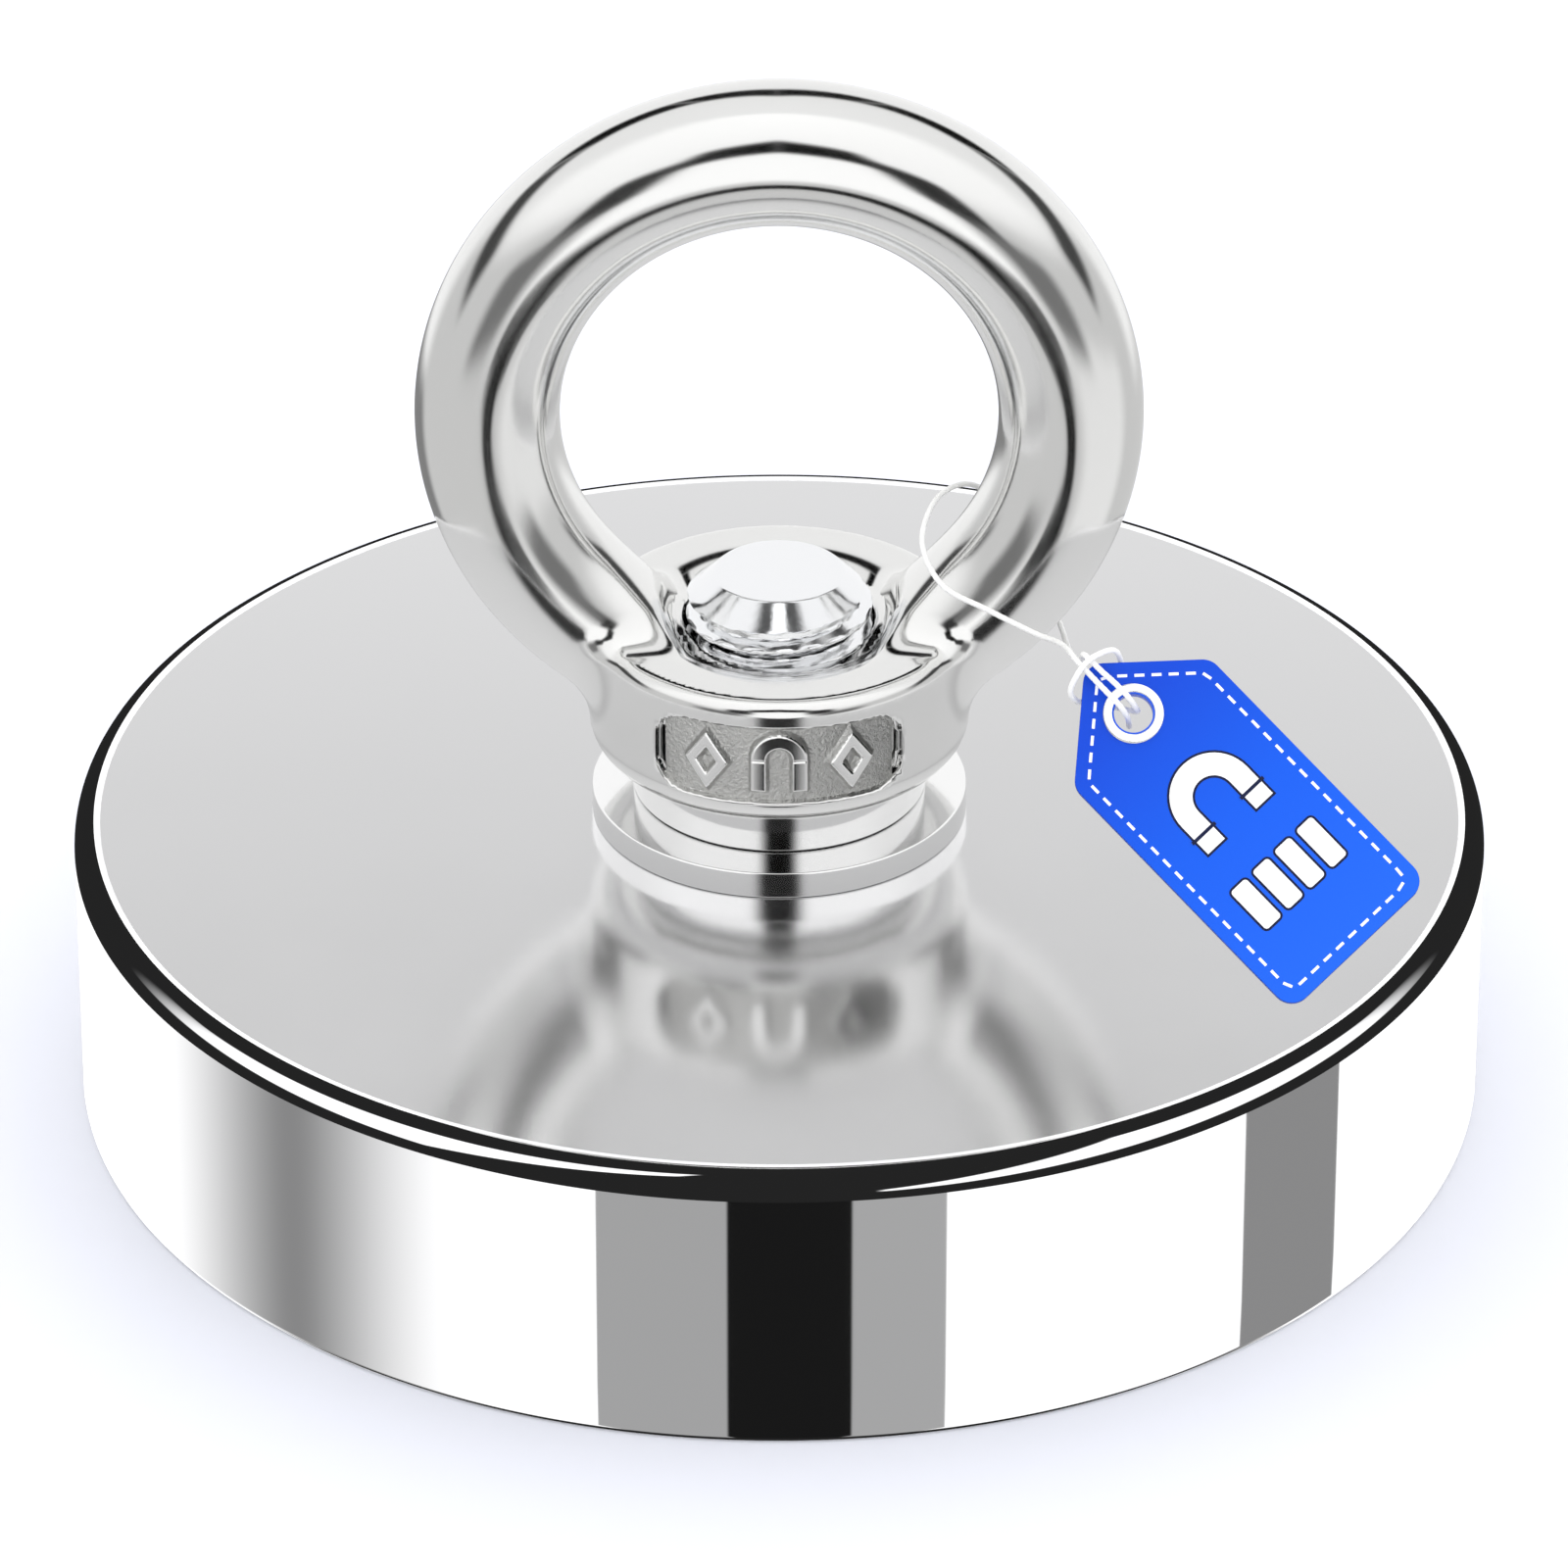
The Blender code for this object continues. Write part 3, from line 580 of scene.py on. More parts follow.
def mesh_from_field(field, low, high, cell):
    """One point in each cell that the surface crosses, and one face round each grid edge that it crosses."""
    axes = [np.arange(a, b + cell, cell) for a, b in zip(low, high)]
    inside = field(np.stack(np.meshgrid(*axes, indexing="ij"), -1)) < 0
    corners = inside.astype(int)
    for axis in range(3):
        ends = corners.shape[axis] - 1
        corners = np.take(corners, range(ends), axis) + np.take(corners, range(1, ends + 1), axis)
    crossed = (corners > 0) & (corners < 8)
    number = np.full(crossed.shape, -1)
    number[crossed] = np.arange(crossed.sum())
    points = np.array(low) + (np.argwhere(crossed) + 0.5) * cell
    points = pulled_on(field, points, 6)
    faces = []
    for axis in range(3):
        u, v = (axis + 1) % 3, (axis + 2) % 3
        first = np.take(inside, range(inside.shape[axis] - 1), axis)
        second = np.take(inside, range(1, inside.shape[axis]), axis)
        for flip, edges in ((False, first & ~second), (True, second & ~first)):
            at = np.argwhere(edges)
            at = at[(at[:, u] > 0) & (at[:, v] > 0)]
            step_u, step_v = np.eye(3, dtype=int)[u], np.eye(3, dtype=int)[v]
            round_it = [at - step_u - step_v, at - step_v, at, at - step_u]
            quad = np.stack([number[tuple(c.T)] for c in round_it], -1)
            faces.append(quad[:, ::-1] if flip else quad)
    faces = np.concatenate(faces)
    for _ in range(4):
        total, share = np.zeros_like(points), np.zeros(len(points))
        for k in range(4):
            np.add.at(total, faces[:, k], points[faces].mean(1))
            np.add.at(share, faces[:, k], 1)
        points = pulled_on(field, total / share[:, None], 2)
    mesh = bpy.data.meshes.new("piece")
    mesh.from_pydata((points * MM).tolist(), [], faces.tolist())
    mesh.shade_smooth()
    slope = slope_of(field, points)
    slope /= np.linalg.norm(slope, axis=1, keepdims=True)
    mesh.normals_split_custom_set_from_vertices(slope.tolist())
    return mesh


# %% The eye nut's mesh
CELL = 0.42
grid_low = [-31.4, -17.1, COLLAR_LOW - 1.03]
grid_high = [31.4, 17.1, nut_high.z / MM + 1]
nut_mesh = mesh_from_field(eye_nut_field, grid_low, grid_high, CELL)
put("eye_nut_cast", nut_mesh, "eye", polished_stainless, ("eye_nut",), 0)
print("eye nut:", len(nut_mesh.vertices), "points,", len(nut_mesh.polygons), "faces")

# %% [markdown]
# ## The cast panel
#
# The front of the collar has a sunk panel with raised marks. On this one they are a horseshoe magnet
# between two lozenges, a maker's sign that stands for nothing but a magnet. The panel is a fine grid bent
# round the collar, and its height comes from flat distance fields of the marks, so their sides slope as a
# casting's must to leave the sand.

# %% Panel relief
PANEL_CELL = 0.11
GROUND, RELIEF = COLLAR_RADIUS - 0.62, 0.6


def horseshoe(x, y, radius, width, leg):
    """The distance to a horseshoe magnet that opens downwards, with the centre of its bend at the origin."""
    bend = np.abs(np.hypot(x, y) - radius) - width / 2
    bend = np.where(y > 0, bend, np.hypot(np.abs(np.abs(x) - radius), y))
    legs = soft_box(np.abs(x) - radius, y + leg / 2, width / 2, leg / 2 + 0.01, 0.05)
    return np.minimum(np.where(y > 0, bend, legs), legs)


def panel_marks(x, y):
    """The distance to the panel's marks."""
    middle = horseshoe(x, y - 0.6, 1.75, 1.5, 3.1)
    lozenge = (np.abs(np.abs(x) - 6.3) / 2.1 + np.abs(y) / 2.9 - 1) * 1.6
    hollow = (np.abs(np.abs(x) - 6.3) / 0.75 + np.abs(y) / 1.05 - 1) * 0.6
    return np.minimum(middle, np.maximum(lozenge, -hollow))


columns = np.arange(-PANEL_HALF[0] - 0.4, PANEL_HALF[0] + 0.41, PANEL_CELL)
levels = np.arange(-PANEL_HALF[1] - 0.4, PANEL_HALF[1] + 0.41, PANEL_CELL)
across, up = np.meshgrid(columns, levels, indexing="ij")
rise = np.clip(0.5 - panel_marks(across, up) / 0.42, 0, 1)
rise = rise * rise * (3 - 2 * rise)
reach = GROUND + RELIEF * rise
bend = across / COLLAR_RADIUS
points = np.stack([reach * np.sin(bend), -reach * np.cos(bend), up + PANEL_CENTRE], -1).reshape(-1, 3)
count = len(levels)
faces = [(i * count + k, (i + 1) * count + k, (i + 1) * count + k + 1, i * count + k + 1)
         for i in range(len(columns) - 1) for k in range(count - 1)]
panel_mesh = bpy.data.meshes.new("eye_nut_panel")
panel_mesh.from_pydata((points * MM).tolist(), [], faces)
panel = put("eye_nut_panel", panel_mesh, "eye", cast_ground, (), 80)
panel.data.materials.append(polished_stainless)
for face in panel.data.polygons:
    if sqrt(face.center.x**2 + face.center.y**2) > (GROUND + 0.85 * RELIEF) * MM:
        face.material_index = 1
print("panel faces:", len(faces))

# %% [markdown]
# ## The tag
#
# The tag is a card laminated in blue, with a darker cut edge, a stitched-looking border and a printed sign.
# On a real one the border and the sign are ink, so they are made as ink is: thin flat shapes lying on the
# face, cut out by their own outlines, so that they stay sharp from any distance. The sign is a horseshoe
# magnet over a row of bars.

# %% The tag's own axes
TAG_TURN = Matrix.Rotation(radians(50), 4, "X") @ Matrix.Rotation(radians(43.6), 4, "Z")
TAG_FRAME = Matrix.Translation(Vector((25.2, -18.1, 49.2))) @ TAG_TURN
TAG_HALF_WIDTH, TAG_SHOULDER, TAG_LENGTH, TAG_HALF_THICK = 7.83, 6.9, 32.6, 0.35
EYELET_DOWN = 5.8
tag_corners = [(-TAG_HALF_WIDTH, -TAG_LENGTH), (TAG_HALF_WIDTH, -TAG_LENGTH), (TAG_HALF_WIDTH, -TAG_SHOULDER),
               (0, 0), (-TAG_HALF_WIDTH, -TAG_SHOULDER)]


def on_tag(mesh):
    """Moves a mesh made in the tag's axes, in millimetres, to its place."""
    frame_in_metres = TAG_FRAME.copy()
    frame_in_metres.translation = TAG_FRAME.translation * MM
    mesh.transform(frame_in_metres)
    return mesh


def plate(outlines, low, high, bevel=0.0):
    """A flat plate between two heights, filled between its outlines, with its edges broken by a bevel."""
    curve = bpy.data.curves.new("outline", "CURVE")
    curve.dimensions = "2D"
    curve.fill_mode = "BOTH"
    curve.extrude = (high - low) / 2 * MM
    for outline in outlines:
        spline = curve.splines.new("POLY")
        spline.points.add(len(outline) - 1)
        for point, (x, y) in zip(spline.points, outline):
            point.co = (x * MM, y * MM, 0, 1)
        spline.use_cyclic_u = True
    maker = bpy.data.objects.new("outline", curve)
    link(maker)
    graph = bpy.context.evaluated_depsgraph_get()
    mesh = bpy.data.meshes.new_from_object(maker.evaluated_get(graph))
    bpy.data.objects.remove(maker)
    mesh.materials.clear()
    shape = bmesh.new()
    shape.from_mesh(mesh)
    bmesh.ops.remove_doubles(shape, verts=shape.verts, dist=1e-7)
    bmesh.ops.translate(shape, verts=shape.verts, vec=(0, 0, (low + high) / 2 * MM))
    if bevel:
        rims = [e for e in shape.edges if len(e.link_faces) == 2 and e.calc_face_angle() > 1]
        bmesh.ops.bevel(shape, geom=rims, offset=bevel * MM, segments=3, profile=0.5, affect="EDGES")
    shape.to_mesh(mesh)
    shape.free()
    return mesh


# %% Laminated card, ink and eyelet metal
# The film gives a weak gloss, and the card's fibre shows through it, drawn 0.7 mm wide so that it is seen.
card_face, tree, surface = material(
    "card_laminated_blue", Roughness=0.38, Coat_Weight=0.12, Coat_Roughness=0.3, Specular_IOR_Level=0.2
)
place = add(tree, "TexCoord").outputs["Object"]
into_tag = TAG_FRAME.to_3x3().inverted()
along = add(tree, "VectorMath", {0: place, 1: tuple(into_tag[1])}, operation="DOT_PRODUCT")
apex_along = into_tag[1].dot(TAG_FRAME.translation) * MM
ends = {"Value": along.outputs["Value"], 1: apex_along - TAG_LENGTH * MM, 2: apex_along - 5 * MM}
share = add(tree, "MapRange", ends)
ink = add(tree, "ValToRGB", {"Fac": share.outputs["Result"]},
          [(0.0, linear("1160E6")), (0.55, linear("0057DE")), (1.0, linear("0044CC"))])
fibre = add(tree, "TexNoise", {"Vector": place, "Scale": 1000 / 0.667, "Detail": 3.0})
bump = add(tree, "Bump", {"Height": fibre.outputs["Fac"], "Strength": 0.06, "Distance": 0.0002})
tree.links.new(ink.outputs["Color"], surface.inputs["Base Color"])
tree.links.new(bump.outputs["Normal"], surface.inputs["Normal"])

# Ink dries matt, and so does the edge where the card was cut.
card_edge, _, _ = material("card_cut_edge", Base_Color=linear("0A3FB4"), Roughness=0.5)
white_ink, _, _ = material("ink_white", Base_Color=linear("FBFBFB"), Roughness=0.5)
navy_ink, _, _ = material("ink_navy", Base_Color=linear("08184A"), Roughness=0.5)
# Brass pressed in a die and barrel-plated with nickel: a soft shine with rub marks.
eyelet_metal = finish(
    "eyelet_brass_nickelled", "F1F1F0", (0.667, 3.0, 0.5), (0.3, 0.7, 0.25, 0.31), Metallic=1.0
)
barrel_lacquer, _, _ = material("eyelet_barrel_lacquer", Base_Color=linear("1256DE"), Roughness=0.35)

# %% Card
EYELET_HOLE = 1.62
hole = arc((0, -EYELET_DOWN), 2.02, 2.02, 0, 352.5, 47)
outlines = [soft_corners(tag_corners, 1.7, 8), hole]
card_mesh = on_tag(plate(outlines, -TAG_HALF_THICK, TAG_HALF_THICK, bevel=0.1))
card = put("tag_card_laminated", card_mesh, "tag", card_face, ("tag_card",))
card.data.materials.append(card_edge)
facing = TAG_FRAME.to_3x3() @ Vector((0, 0, 1))
for face in card.data.polygons:
    if abs(face.normal.dot(facing)) < 0.5:
        face.material_index = 1
print("card faces:", len(card.data.polygons))

# %% Printed border of dashes
INK_FOOT, INK_LIFT = 0.3, 0.37
DASH_PITCH, DASH_SHARE, DASH_WIDTH = 1.42, 0.58, 0.24


def inset(corners, distance):
    """A convex outline moved inwards."""
    moved = []
    for i, corner in enumerate(corners):
        here, before, after = Vector(corner), Vector(corners[i - 1]), Vector(corners[(i + 1) % len(corners)])
        first, second = (here - before).normalized(), (after - here).normalized()
        first_in, second_in = Vector((-first.y, first.x)), Vector((-second.y, second.x))
        middle = (first_in + second_in).normalized()
        moved.append(here + middle * (distance / middle.dot(first_in)))
    return [(p.x, p.y) for p in moved]


def bar(start, end, width):
    """The outline of a bar with cut ends."""
    a, b = Vector(start), Vector(end)
    side = (b - a).normalized().orthogonal() * (width / 2)
    return [tuple(a - side), tuple(b - side), tuple(b + side), tuple(a + side)]


border = np.array(soft_corners(inset(tag_corners, 1.15), 1.0, 8))
border = np.concatenate([border, border[:1]])
run = np.concatenate([[0], np.cumsum(np.linalg.norm(np.diff(border, axis=0), axis=1))])
dash_count = round(run[-1] / DASH_PITCH)
dashes = []
for i in range(dash_count):
    ends = run[-1] * (i + np.array([0.0, DASH_SHARE])) / dash_count
    start, end = zip(np.interp(ends, run, border[:, 0]), np.interp(ends, run, border[:, 1]))
    dashes.append(bar(start, end, DASH_WIDTH))
put("tag_border_ink", on_tag(plate(dashes, INK_FOOT, INK_LIFT)), "tag", white_ink, ())
print("dashes:", len(dashes))

# %% Printed sign: a horseshoe magnet over a row of bars
def horseshoe_outline(centre, radius, width, leg, grow=0.0):
    """The outline of a horseshoe magnet that opens downwards, made larger all round by grow."""
    x, y = centre
    outer, inner = radius + width / 2 + grow, radius - width / 2 - grow
    over = arc((x, y), outer, outer, 180, 0, 24)
    under = arc((x, y), inner, inner, 0, 180, 24)
    foot = y - leg - grow
    return [(x - outer, foot), *over, (x + outer, foot), (x + inner, foot), *under, (x - inner, foot)]


def rounded_bar(centre, width, height, grow=0.0):
    """The outline of a bar with soft corners, made larger all round by grow."""
    x, y = centre
    w, h = width / 2 + grow, height / 2 + grow
    return soft_corners([(x - w, y - h), (x + w, y - h), (x + w, y + h), (x - w, y + h)], 0.3 + grow, 4)


OUTLINE = 0.2
shoe = ((0, -15.4), 2.75, 1.9, 3.1)
bars = [((x, -24.2), 1.75, 4.3) for x in (-3.75, -1.25, 1.25, 3.75)]
navy = [horseshoe_outline(*shoe, OUTLINE)] + [rounded_bar(*b, OUTLINE) for b in bars]
white = [horseshoe_outline(*shoe)] + [rounded_bar(*b) for b in bars]
gaps = [bar((x - 1.3, -17.0), (x + 1.3, -17.0), 0.3) for x in (-2.75, 2.75)]
for name, outlines, above_the_last, ink_used in (
    ("tag_sign_outline_ink", navy, 0, navy_ink),
    ("tag_sign_ink", white, 0.03, white_ink),
    ("tag_sign_gaps_ink", gaps, 0.05, navy_ink),
):
    put(name, on_tag(plate(outlines, INK_FOOT, INK_LIFT + above_the_last)), "tag", ink_used)
print("sign:", len(white), "shapes")

# %% [markdown]
# ## The eyelet
#
# An eyelet is a short brass tube, nickelled, with a flange rolled over on the face and a ring pressed on at
# the back. The flange is a soft half-round, so it is turned from a rounded section. The inside of the
# barrel carries the card's lacquer.

# %% Eyelet, its barrel and its ring
for name, corners, radii, steps, metal, stands_for, slot in (
    ("tag_eyelet_flange", [(1.78, 0.78), (2.5, 0.78), (2.5, 0.36), (1.78, 0.36)], [0.2, 0.3, 0.05, 0.02], 5,
     eyelet_metal, ("tag_eyelet",), "eyelet_metal"),
    ("tag_eyelet_barrel", [(EYELET_HOLE, 0.6), (1.8, 0.6), (1.8, -0.7), (EYELET_HOLE, -0.7)], 0.05, 2,
     barrel_lacquer, (), "blue_card"),
    ("tag_eyelet_back", [(1.78, -0.36), (2.5, -0.36), (2.5, -0.72), (1.78, -0.72)], [0.02, 0.05, 0.2, 0.15],
     4, eyelet_metal, ("tag_eyelet_washer",), "eyelet_metal"),
):
    turned = lathe(soft_corners(corners, radii, steps), 96)
    turned.transform(Matrix.Translation((0, -EYELET_DOWN * MM, 0)))
    put(name, on_tag(turned), "tag", metal, stands_for)
print(f"eyelet: {2 * EYELET_HOLE:.2f} mm hole, {EYELET_DOWN} mm below the apex")

# %% [markdown]
# ## The string
#
# The string is one bight of thin waxed cord: through the eyelet, round the ring, back through the eyelet,
# up behind the card and over its own two strands, which is the hitch that every shop tag is tied with. A
# curve with a bevel would draw it, but here it is made as a mesh. The route is a smooth curve through
# listed points, and a section with three plies is swept along it, turning as it goes.

# %% The string's route
FIRST_STRAND = (
    (-0.55, -6.0, -2.6), (-0.55, -5.9, -1.2), (-0.5, -5.5, 0.3), (-0.5, -4.6, 1.45), (-0.5, -3.0, 1.5),
    (-0.45, -1.5, 1.15), (-0.42, 0.3, 1.1),
)
ROUND_THE_RING = (
    (23.4, -14.0, 23.3), (21.3, -10.0, 22.1), (17.4, -7.8, 23.1), (13.6, -6.4, 24.7), (11.95, -4.0, 27.3),
    (12.9, -0.6, 29.3), (15.4, 3.7, 28.8), (17.9, 6.9, 26.0), (20.0, 7.6, 22.4), (22.1, 6.3, 18.6),
    (23.6, 2.4, 16.5), (24.3, -3.2, 16.9), (24.7, -9.2, 19.3), (25.1, -14.2, 21.8),
)
SECOND_STRAND = (
    (0.42, 0.3, 1.1), (0.45, -1.5, 1.15), (0.5, -3.0, 1.5), (0.5, -4.6, 1.45), (0.5, -5.5, 0.3),
    (0.55, -5.7, -1.0), (-0.1, -4.6, -1.7),
)
HITCH = (
    (-1.3, -2.9, -1.3), (-2.5, -1.7, -0.6), (-2.5, -0.9, 0.6), (-1.3, -0.4, 1.6), (0.0, -0.2, 1.9),
    (1.3, -0.4, 1.6), (2.5, -0.9, 0.6), (2.5, -1.7, -0.6), (1.5, -3.0, -1.3), (0.9, -4.6, -2.0),
)
STRING_DIAMETER, PLIES, LAY_LENGTH = 0.5, 3, 1.9


def smooth_through(points, step):
    """Points a step apart along a centripetal Catmull-Rom curve through the given ones, and its length."""
    ends = [2 * points[0] - points[1], *points, 2 * points[-1] - points[-2]]
    dense = []
    for a, b, c, d in zip(ends, ends[1:], ends[2:], ends[3:]):
        t1 = (b - a).length ** 0.5
        t2 = t1 + (c - b).length ** 0.5
        t3 = t2 + (d - c).length ** 0.5
        for k in range(24):
            t = t1 + (t2 - t1) * k / 24
            ab = a.lerp(b, t / t1)
            bc = b.lerp(c, (t - t1) / (t2 - t1))
            cd = c.lerp(d, (t - t2) / (t3 - t2))
            abc = ab.lerp(bc, t / t2)
            bcd = bc.lerp(cd, (t - t1) / (t3 - t1))
            dense.append(abc.lerp(bcd, (t - t1) / (t2 - t1)))
    dense = np.array([*dense, points[-1]])
    run = np.concatenate([[0], np.cumsum(np.linalg.norm(np.diff(dense, axis=0), axis=1))])
    at = np.linspace(0, run[-1], round(run[-1] / step) + 1)
    return np.stack([np.interp(at, run, dense[:, i]) for i in range(3)], 1), float(run[-1])


lift = Vector((0, 0, CUP_TOP))
way = [TAG_FRAME @ Vector(p) for p in FIRST_STRAND] + [Vector(p) + lift for p in ROUND_THE_RING]
way += [TAG_FRAME @ Vector(p) for p in SECOND_STRAND + HITCH]
string_path, STRING_LENGTH = smooth_through(way, 0.25)
print(f"string: {STRING_LENGTH:.1f} mm long, {len(string_path)} points")


# %% The string's mesh
def swept_cord(path, radius, plies, lay_length, sides=18):
    """A tube along a path whose section has one lobe for each ply, turning once in each lay length."""
    ahead = np.gradient(path, axis=0)
    ahead /= np.linalg.norm(ahead, axis=1, keepdims=True)
    side = np.cross(ahead[0], (0, 0, 1))
    run = np.concatenate([[0], np.cumsum(np.linalg.norm(np.diff(path, axis=0), axis=1))])
    turn = np.arange(sides) * 2 * pi / sides
    rows = []
    for place, forward, distance in zip(path, ahead, run):
        side = side - forward * side.dot(forward)
        side /= np.linalg.norm(side)
        up = np.cross(forward, side)
        lobes = np.cos(plies * (turn - 2 * pi * distance / lay_length))
        reach = radius * (0.95 + 0.05 * lobes)
        rows.append([place + r * (cos(a) * side + sin(a) * up) for a, r in zip(turn, reach)])
    return capped(rows)


# Wax lays the cotton's fibres down, which leaves a dull shine and a little sheen.
waxed_cord, _, _ = material(
    "cotton_cord_waxed", Base_Color=linear("F4F4F2"), Roughness=0.45, Sheen_Weight=0.3, Sheen_Roughness=0.4
)
string_mesh = swept_cord(string_path, STRING_DIAMETER / 2, PLIES, LAY_LENGTH)
string = put("tag_string_waxed", string_mesh, None, waxed_cord, ("tag_string",), 60)
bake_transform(string)

# %% [markdown]
# ## The studio
#
# Diffuse surfaces, such as the floor and the tag, are lit by an even white dome: the world. Mirror metal
# shows the room more than itself, so its look is made by what stands round it, and no one room suits a flat
# face, a rounded edge and a ring. Here each group of pieces has a room of its own: a big glowing sphere
# that only mirrors see, with panels painted on it by bearing and elevation. Light linking keeps each room
# to its own pieces, and the sphere is transparent besides, so that the rooms don't hide one another.

# %% White dome for diffuse surfaces
world = bpy.data.worlds.new("white_dome")
bpy.context.scene.world = world
world.use_nodes = True
world.node_tree.nodes.clear()
ray = add(world.node_tree, "LightPath")
DOME, DARK, PAPER = (1.46, 1.46, 1.46, 1), (0, 0, 0, 1), (1, 1, 1, 1)
sockets = {0: ray.outputs["Is Glossy Ray"], 6: DOME, 7: DARK}
dome = add(world.node_tree, "Mix", sockets, data_type="RGBA")
sockets = {0: ray.outputs["Is Camera Ray"], 6: dome.outputs[2], 7: PAPER}
shown = add(world.node_tree, "Mix", sockets, data_type="RGBA")
background = add(world.node_tree, "Background", {"Color": shown.outputs[2], "Strength": 1.0})
add(world.node_tree, "OutputWorld", {"Surface": background.outputs[0]})
print("dome:", DOME[0])

# %% [markdown]
# A panel is a wall, its bearings, its low edge, its high edge, its softness and its tone. Bearings are in
# degrees from straight in front, positive to the right, or from straight behind if the wall is "behind".
# An edge is one elevation, or one at either end. The softness is given after the start, before the end,
# over the low edge and under the high one. The tone is one number, or runs from the low edge to the high
# one. Later panels cover earlier ones.


# %% Painting panels on the wall of a room
def degrees_round_a_room(tree):
    """Each point's bearing from the front, its bearing from behind, and its elevation, in degrees."""
    place = add(tree, "TexCoord").outputs["Object"]
    unit = add(tree, "VectorMath", {0: place}, operation="NORMALIZE").outputs[0]
    x, y, z = add(tree, "SeparateXYZ", {0: unit}).outputs
    flipped = add(tree, "Math", {0: y, 1: -1.0}, operation="MULTIPLY").outputs[0]
    angles = {
        "front": add(tree, "Math", {0: x, 1: flipped}, operation="ARCTAN2"),
        "behind": add(tree, "Math", {0: x, 1: y}, operation="ARCTAN2"),
        "rise": add(tree, "Math", {0: z}, operation="ARCSINE"),
    }
    for key, angle in angles.items():
        sockets = {0: angle.outputs[0], 1: 180 / pi}
        angles[key] = add(tree, "Math", sockets, operation="MULTIPLY").outputs[0]
    return angles


def with_panel(tree, tone, angles, panel):
    """The tone of a wall with one more panel painted over it."""
    wall, (start, end), low, high, soft, tones = panel
    low, high, tones = (v if isinstance(v, tuple) else (v, v) for v in (low, high, tones))
    turn = angles[wall]
    rise = angles["rise"]
    span = {"Value": turn, 1: start, 2: end}
    bottom = add(tree, "MapRange", {**span, 3: low[0], 4: low[1]}).outputs[0]
    top = add(tree, "MapRange", {**span, 3: high[0], 4: high[1]}).outputs[0]
    gaps = [add(tree, "Math", {0: more, 1: less}, operation="SUBTRACT").outputs[0]
            for more, less in ((turn, start), (end, turn), (rise, bottom), (top, rise))]
    share = 1.0
    for gap, width in zip(gaps, soft):
        sockets = {"Value": gap, 1: -width / 2, 2: width / 2}
        edge = add(tree, "MapRange", sockets, interpolation_type="SMOOTHSTEP").outputs[0]
        share = add(tree, "Math", {0: share, 1: edge}, operation="MULTIPLY").outputs[0]
    over, under = gaps[2:]
    height = add(tree, "Math", {0: over, 1: under}, operation="ADD").outputs[0]
    height = add(tree, "Math", {0: over, 1: height}, operation="DIVIDE").outputs[0]
    colour = add(tree, "MapRange", {"Value": height, 3: tones[0], 4: tones[1]}).outputs[0]
    return add(tree, "Mix", {0: share, 2: tone, 3: colour}, data_type="FLOAT").outputs[0]


# %% A room, and the pieces that see it
FIRST_ROOM, ROOM_STEP = 3.0, 0.05
rooms = []


def room(name, pieces, base, panels):
    """A glowing sphere with panels on it, seen only by the mirrors among some pieces."""
    glow = bpy.data.materials.new(name)
    glow.use_nodes = True
    tree = glow.node_tree
    tree.nodes.clear()
    angles = degrees_round_a_room(tree)
    tone = base
    for panel in panels:
        tone = with_panel(tree, tone, angles, panel)
    shine = add(tree, "Emission", {"Color": (1, 1, 1, 1), "Strength": tone})
    clear = add(tree, "BsdfTransparent")
    both = add(tree, "AddShader", {0: shine.outputs[0], 1: clear.outputs[0]})
    add(tree, "OutputMaterial", {"Surface": both.outputs[0]})
    glow.cycles.emission_sampling = "NONE"

    shape = bmesh.new()
    radius = FIRST_ROOM + ROOM_STEP * len(rooms)
    bmesh.ops.create_uvsphere(shape, u_segments=96, v_segments=48, radius=radius)
    mesh = bpy.data.meshes.new(name)
    shape.to_mesh(mesh)
    shape.free()
    mesh.materials.append(glow)
    sphere = bpy.data.objects.new(name, mesh)
    link(sphere)
    for kind in ("camera", "diffuse", "transmission", "volume_scatter", "shadow"):
        setattr(sphere, f"visible_{kind}", False)
    seen_by = bpy.data.collections.new(f"{name}_seen_by")
    for piece in pieces:
        seen_by.objects.link(bpy.data.objects[piece])
    sphere.light_linking.receiver_collection = seen_by
    rooms.append(sphere)
    print(name, "for", len(pieces), "pieces,", len(panels), "panels")


# %% [markdown]
# The rounded edge wants a dark room with two soft boxes in front, which make the white streaks. The wall
# wants a white one with upright black and grey strips, which make its bands. It is dark straight below, and
# draws the thin line at the foot.

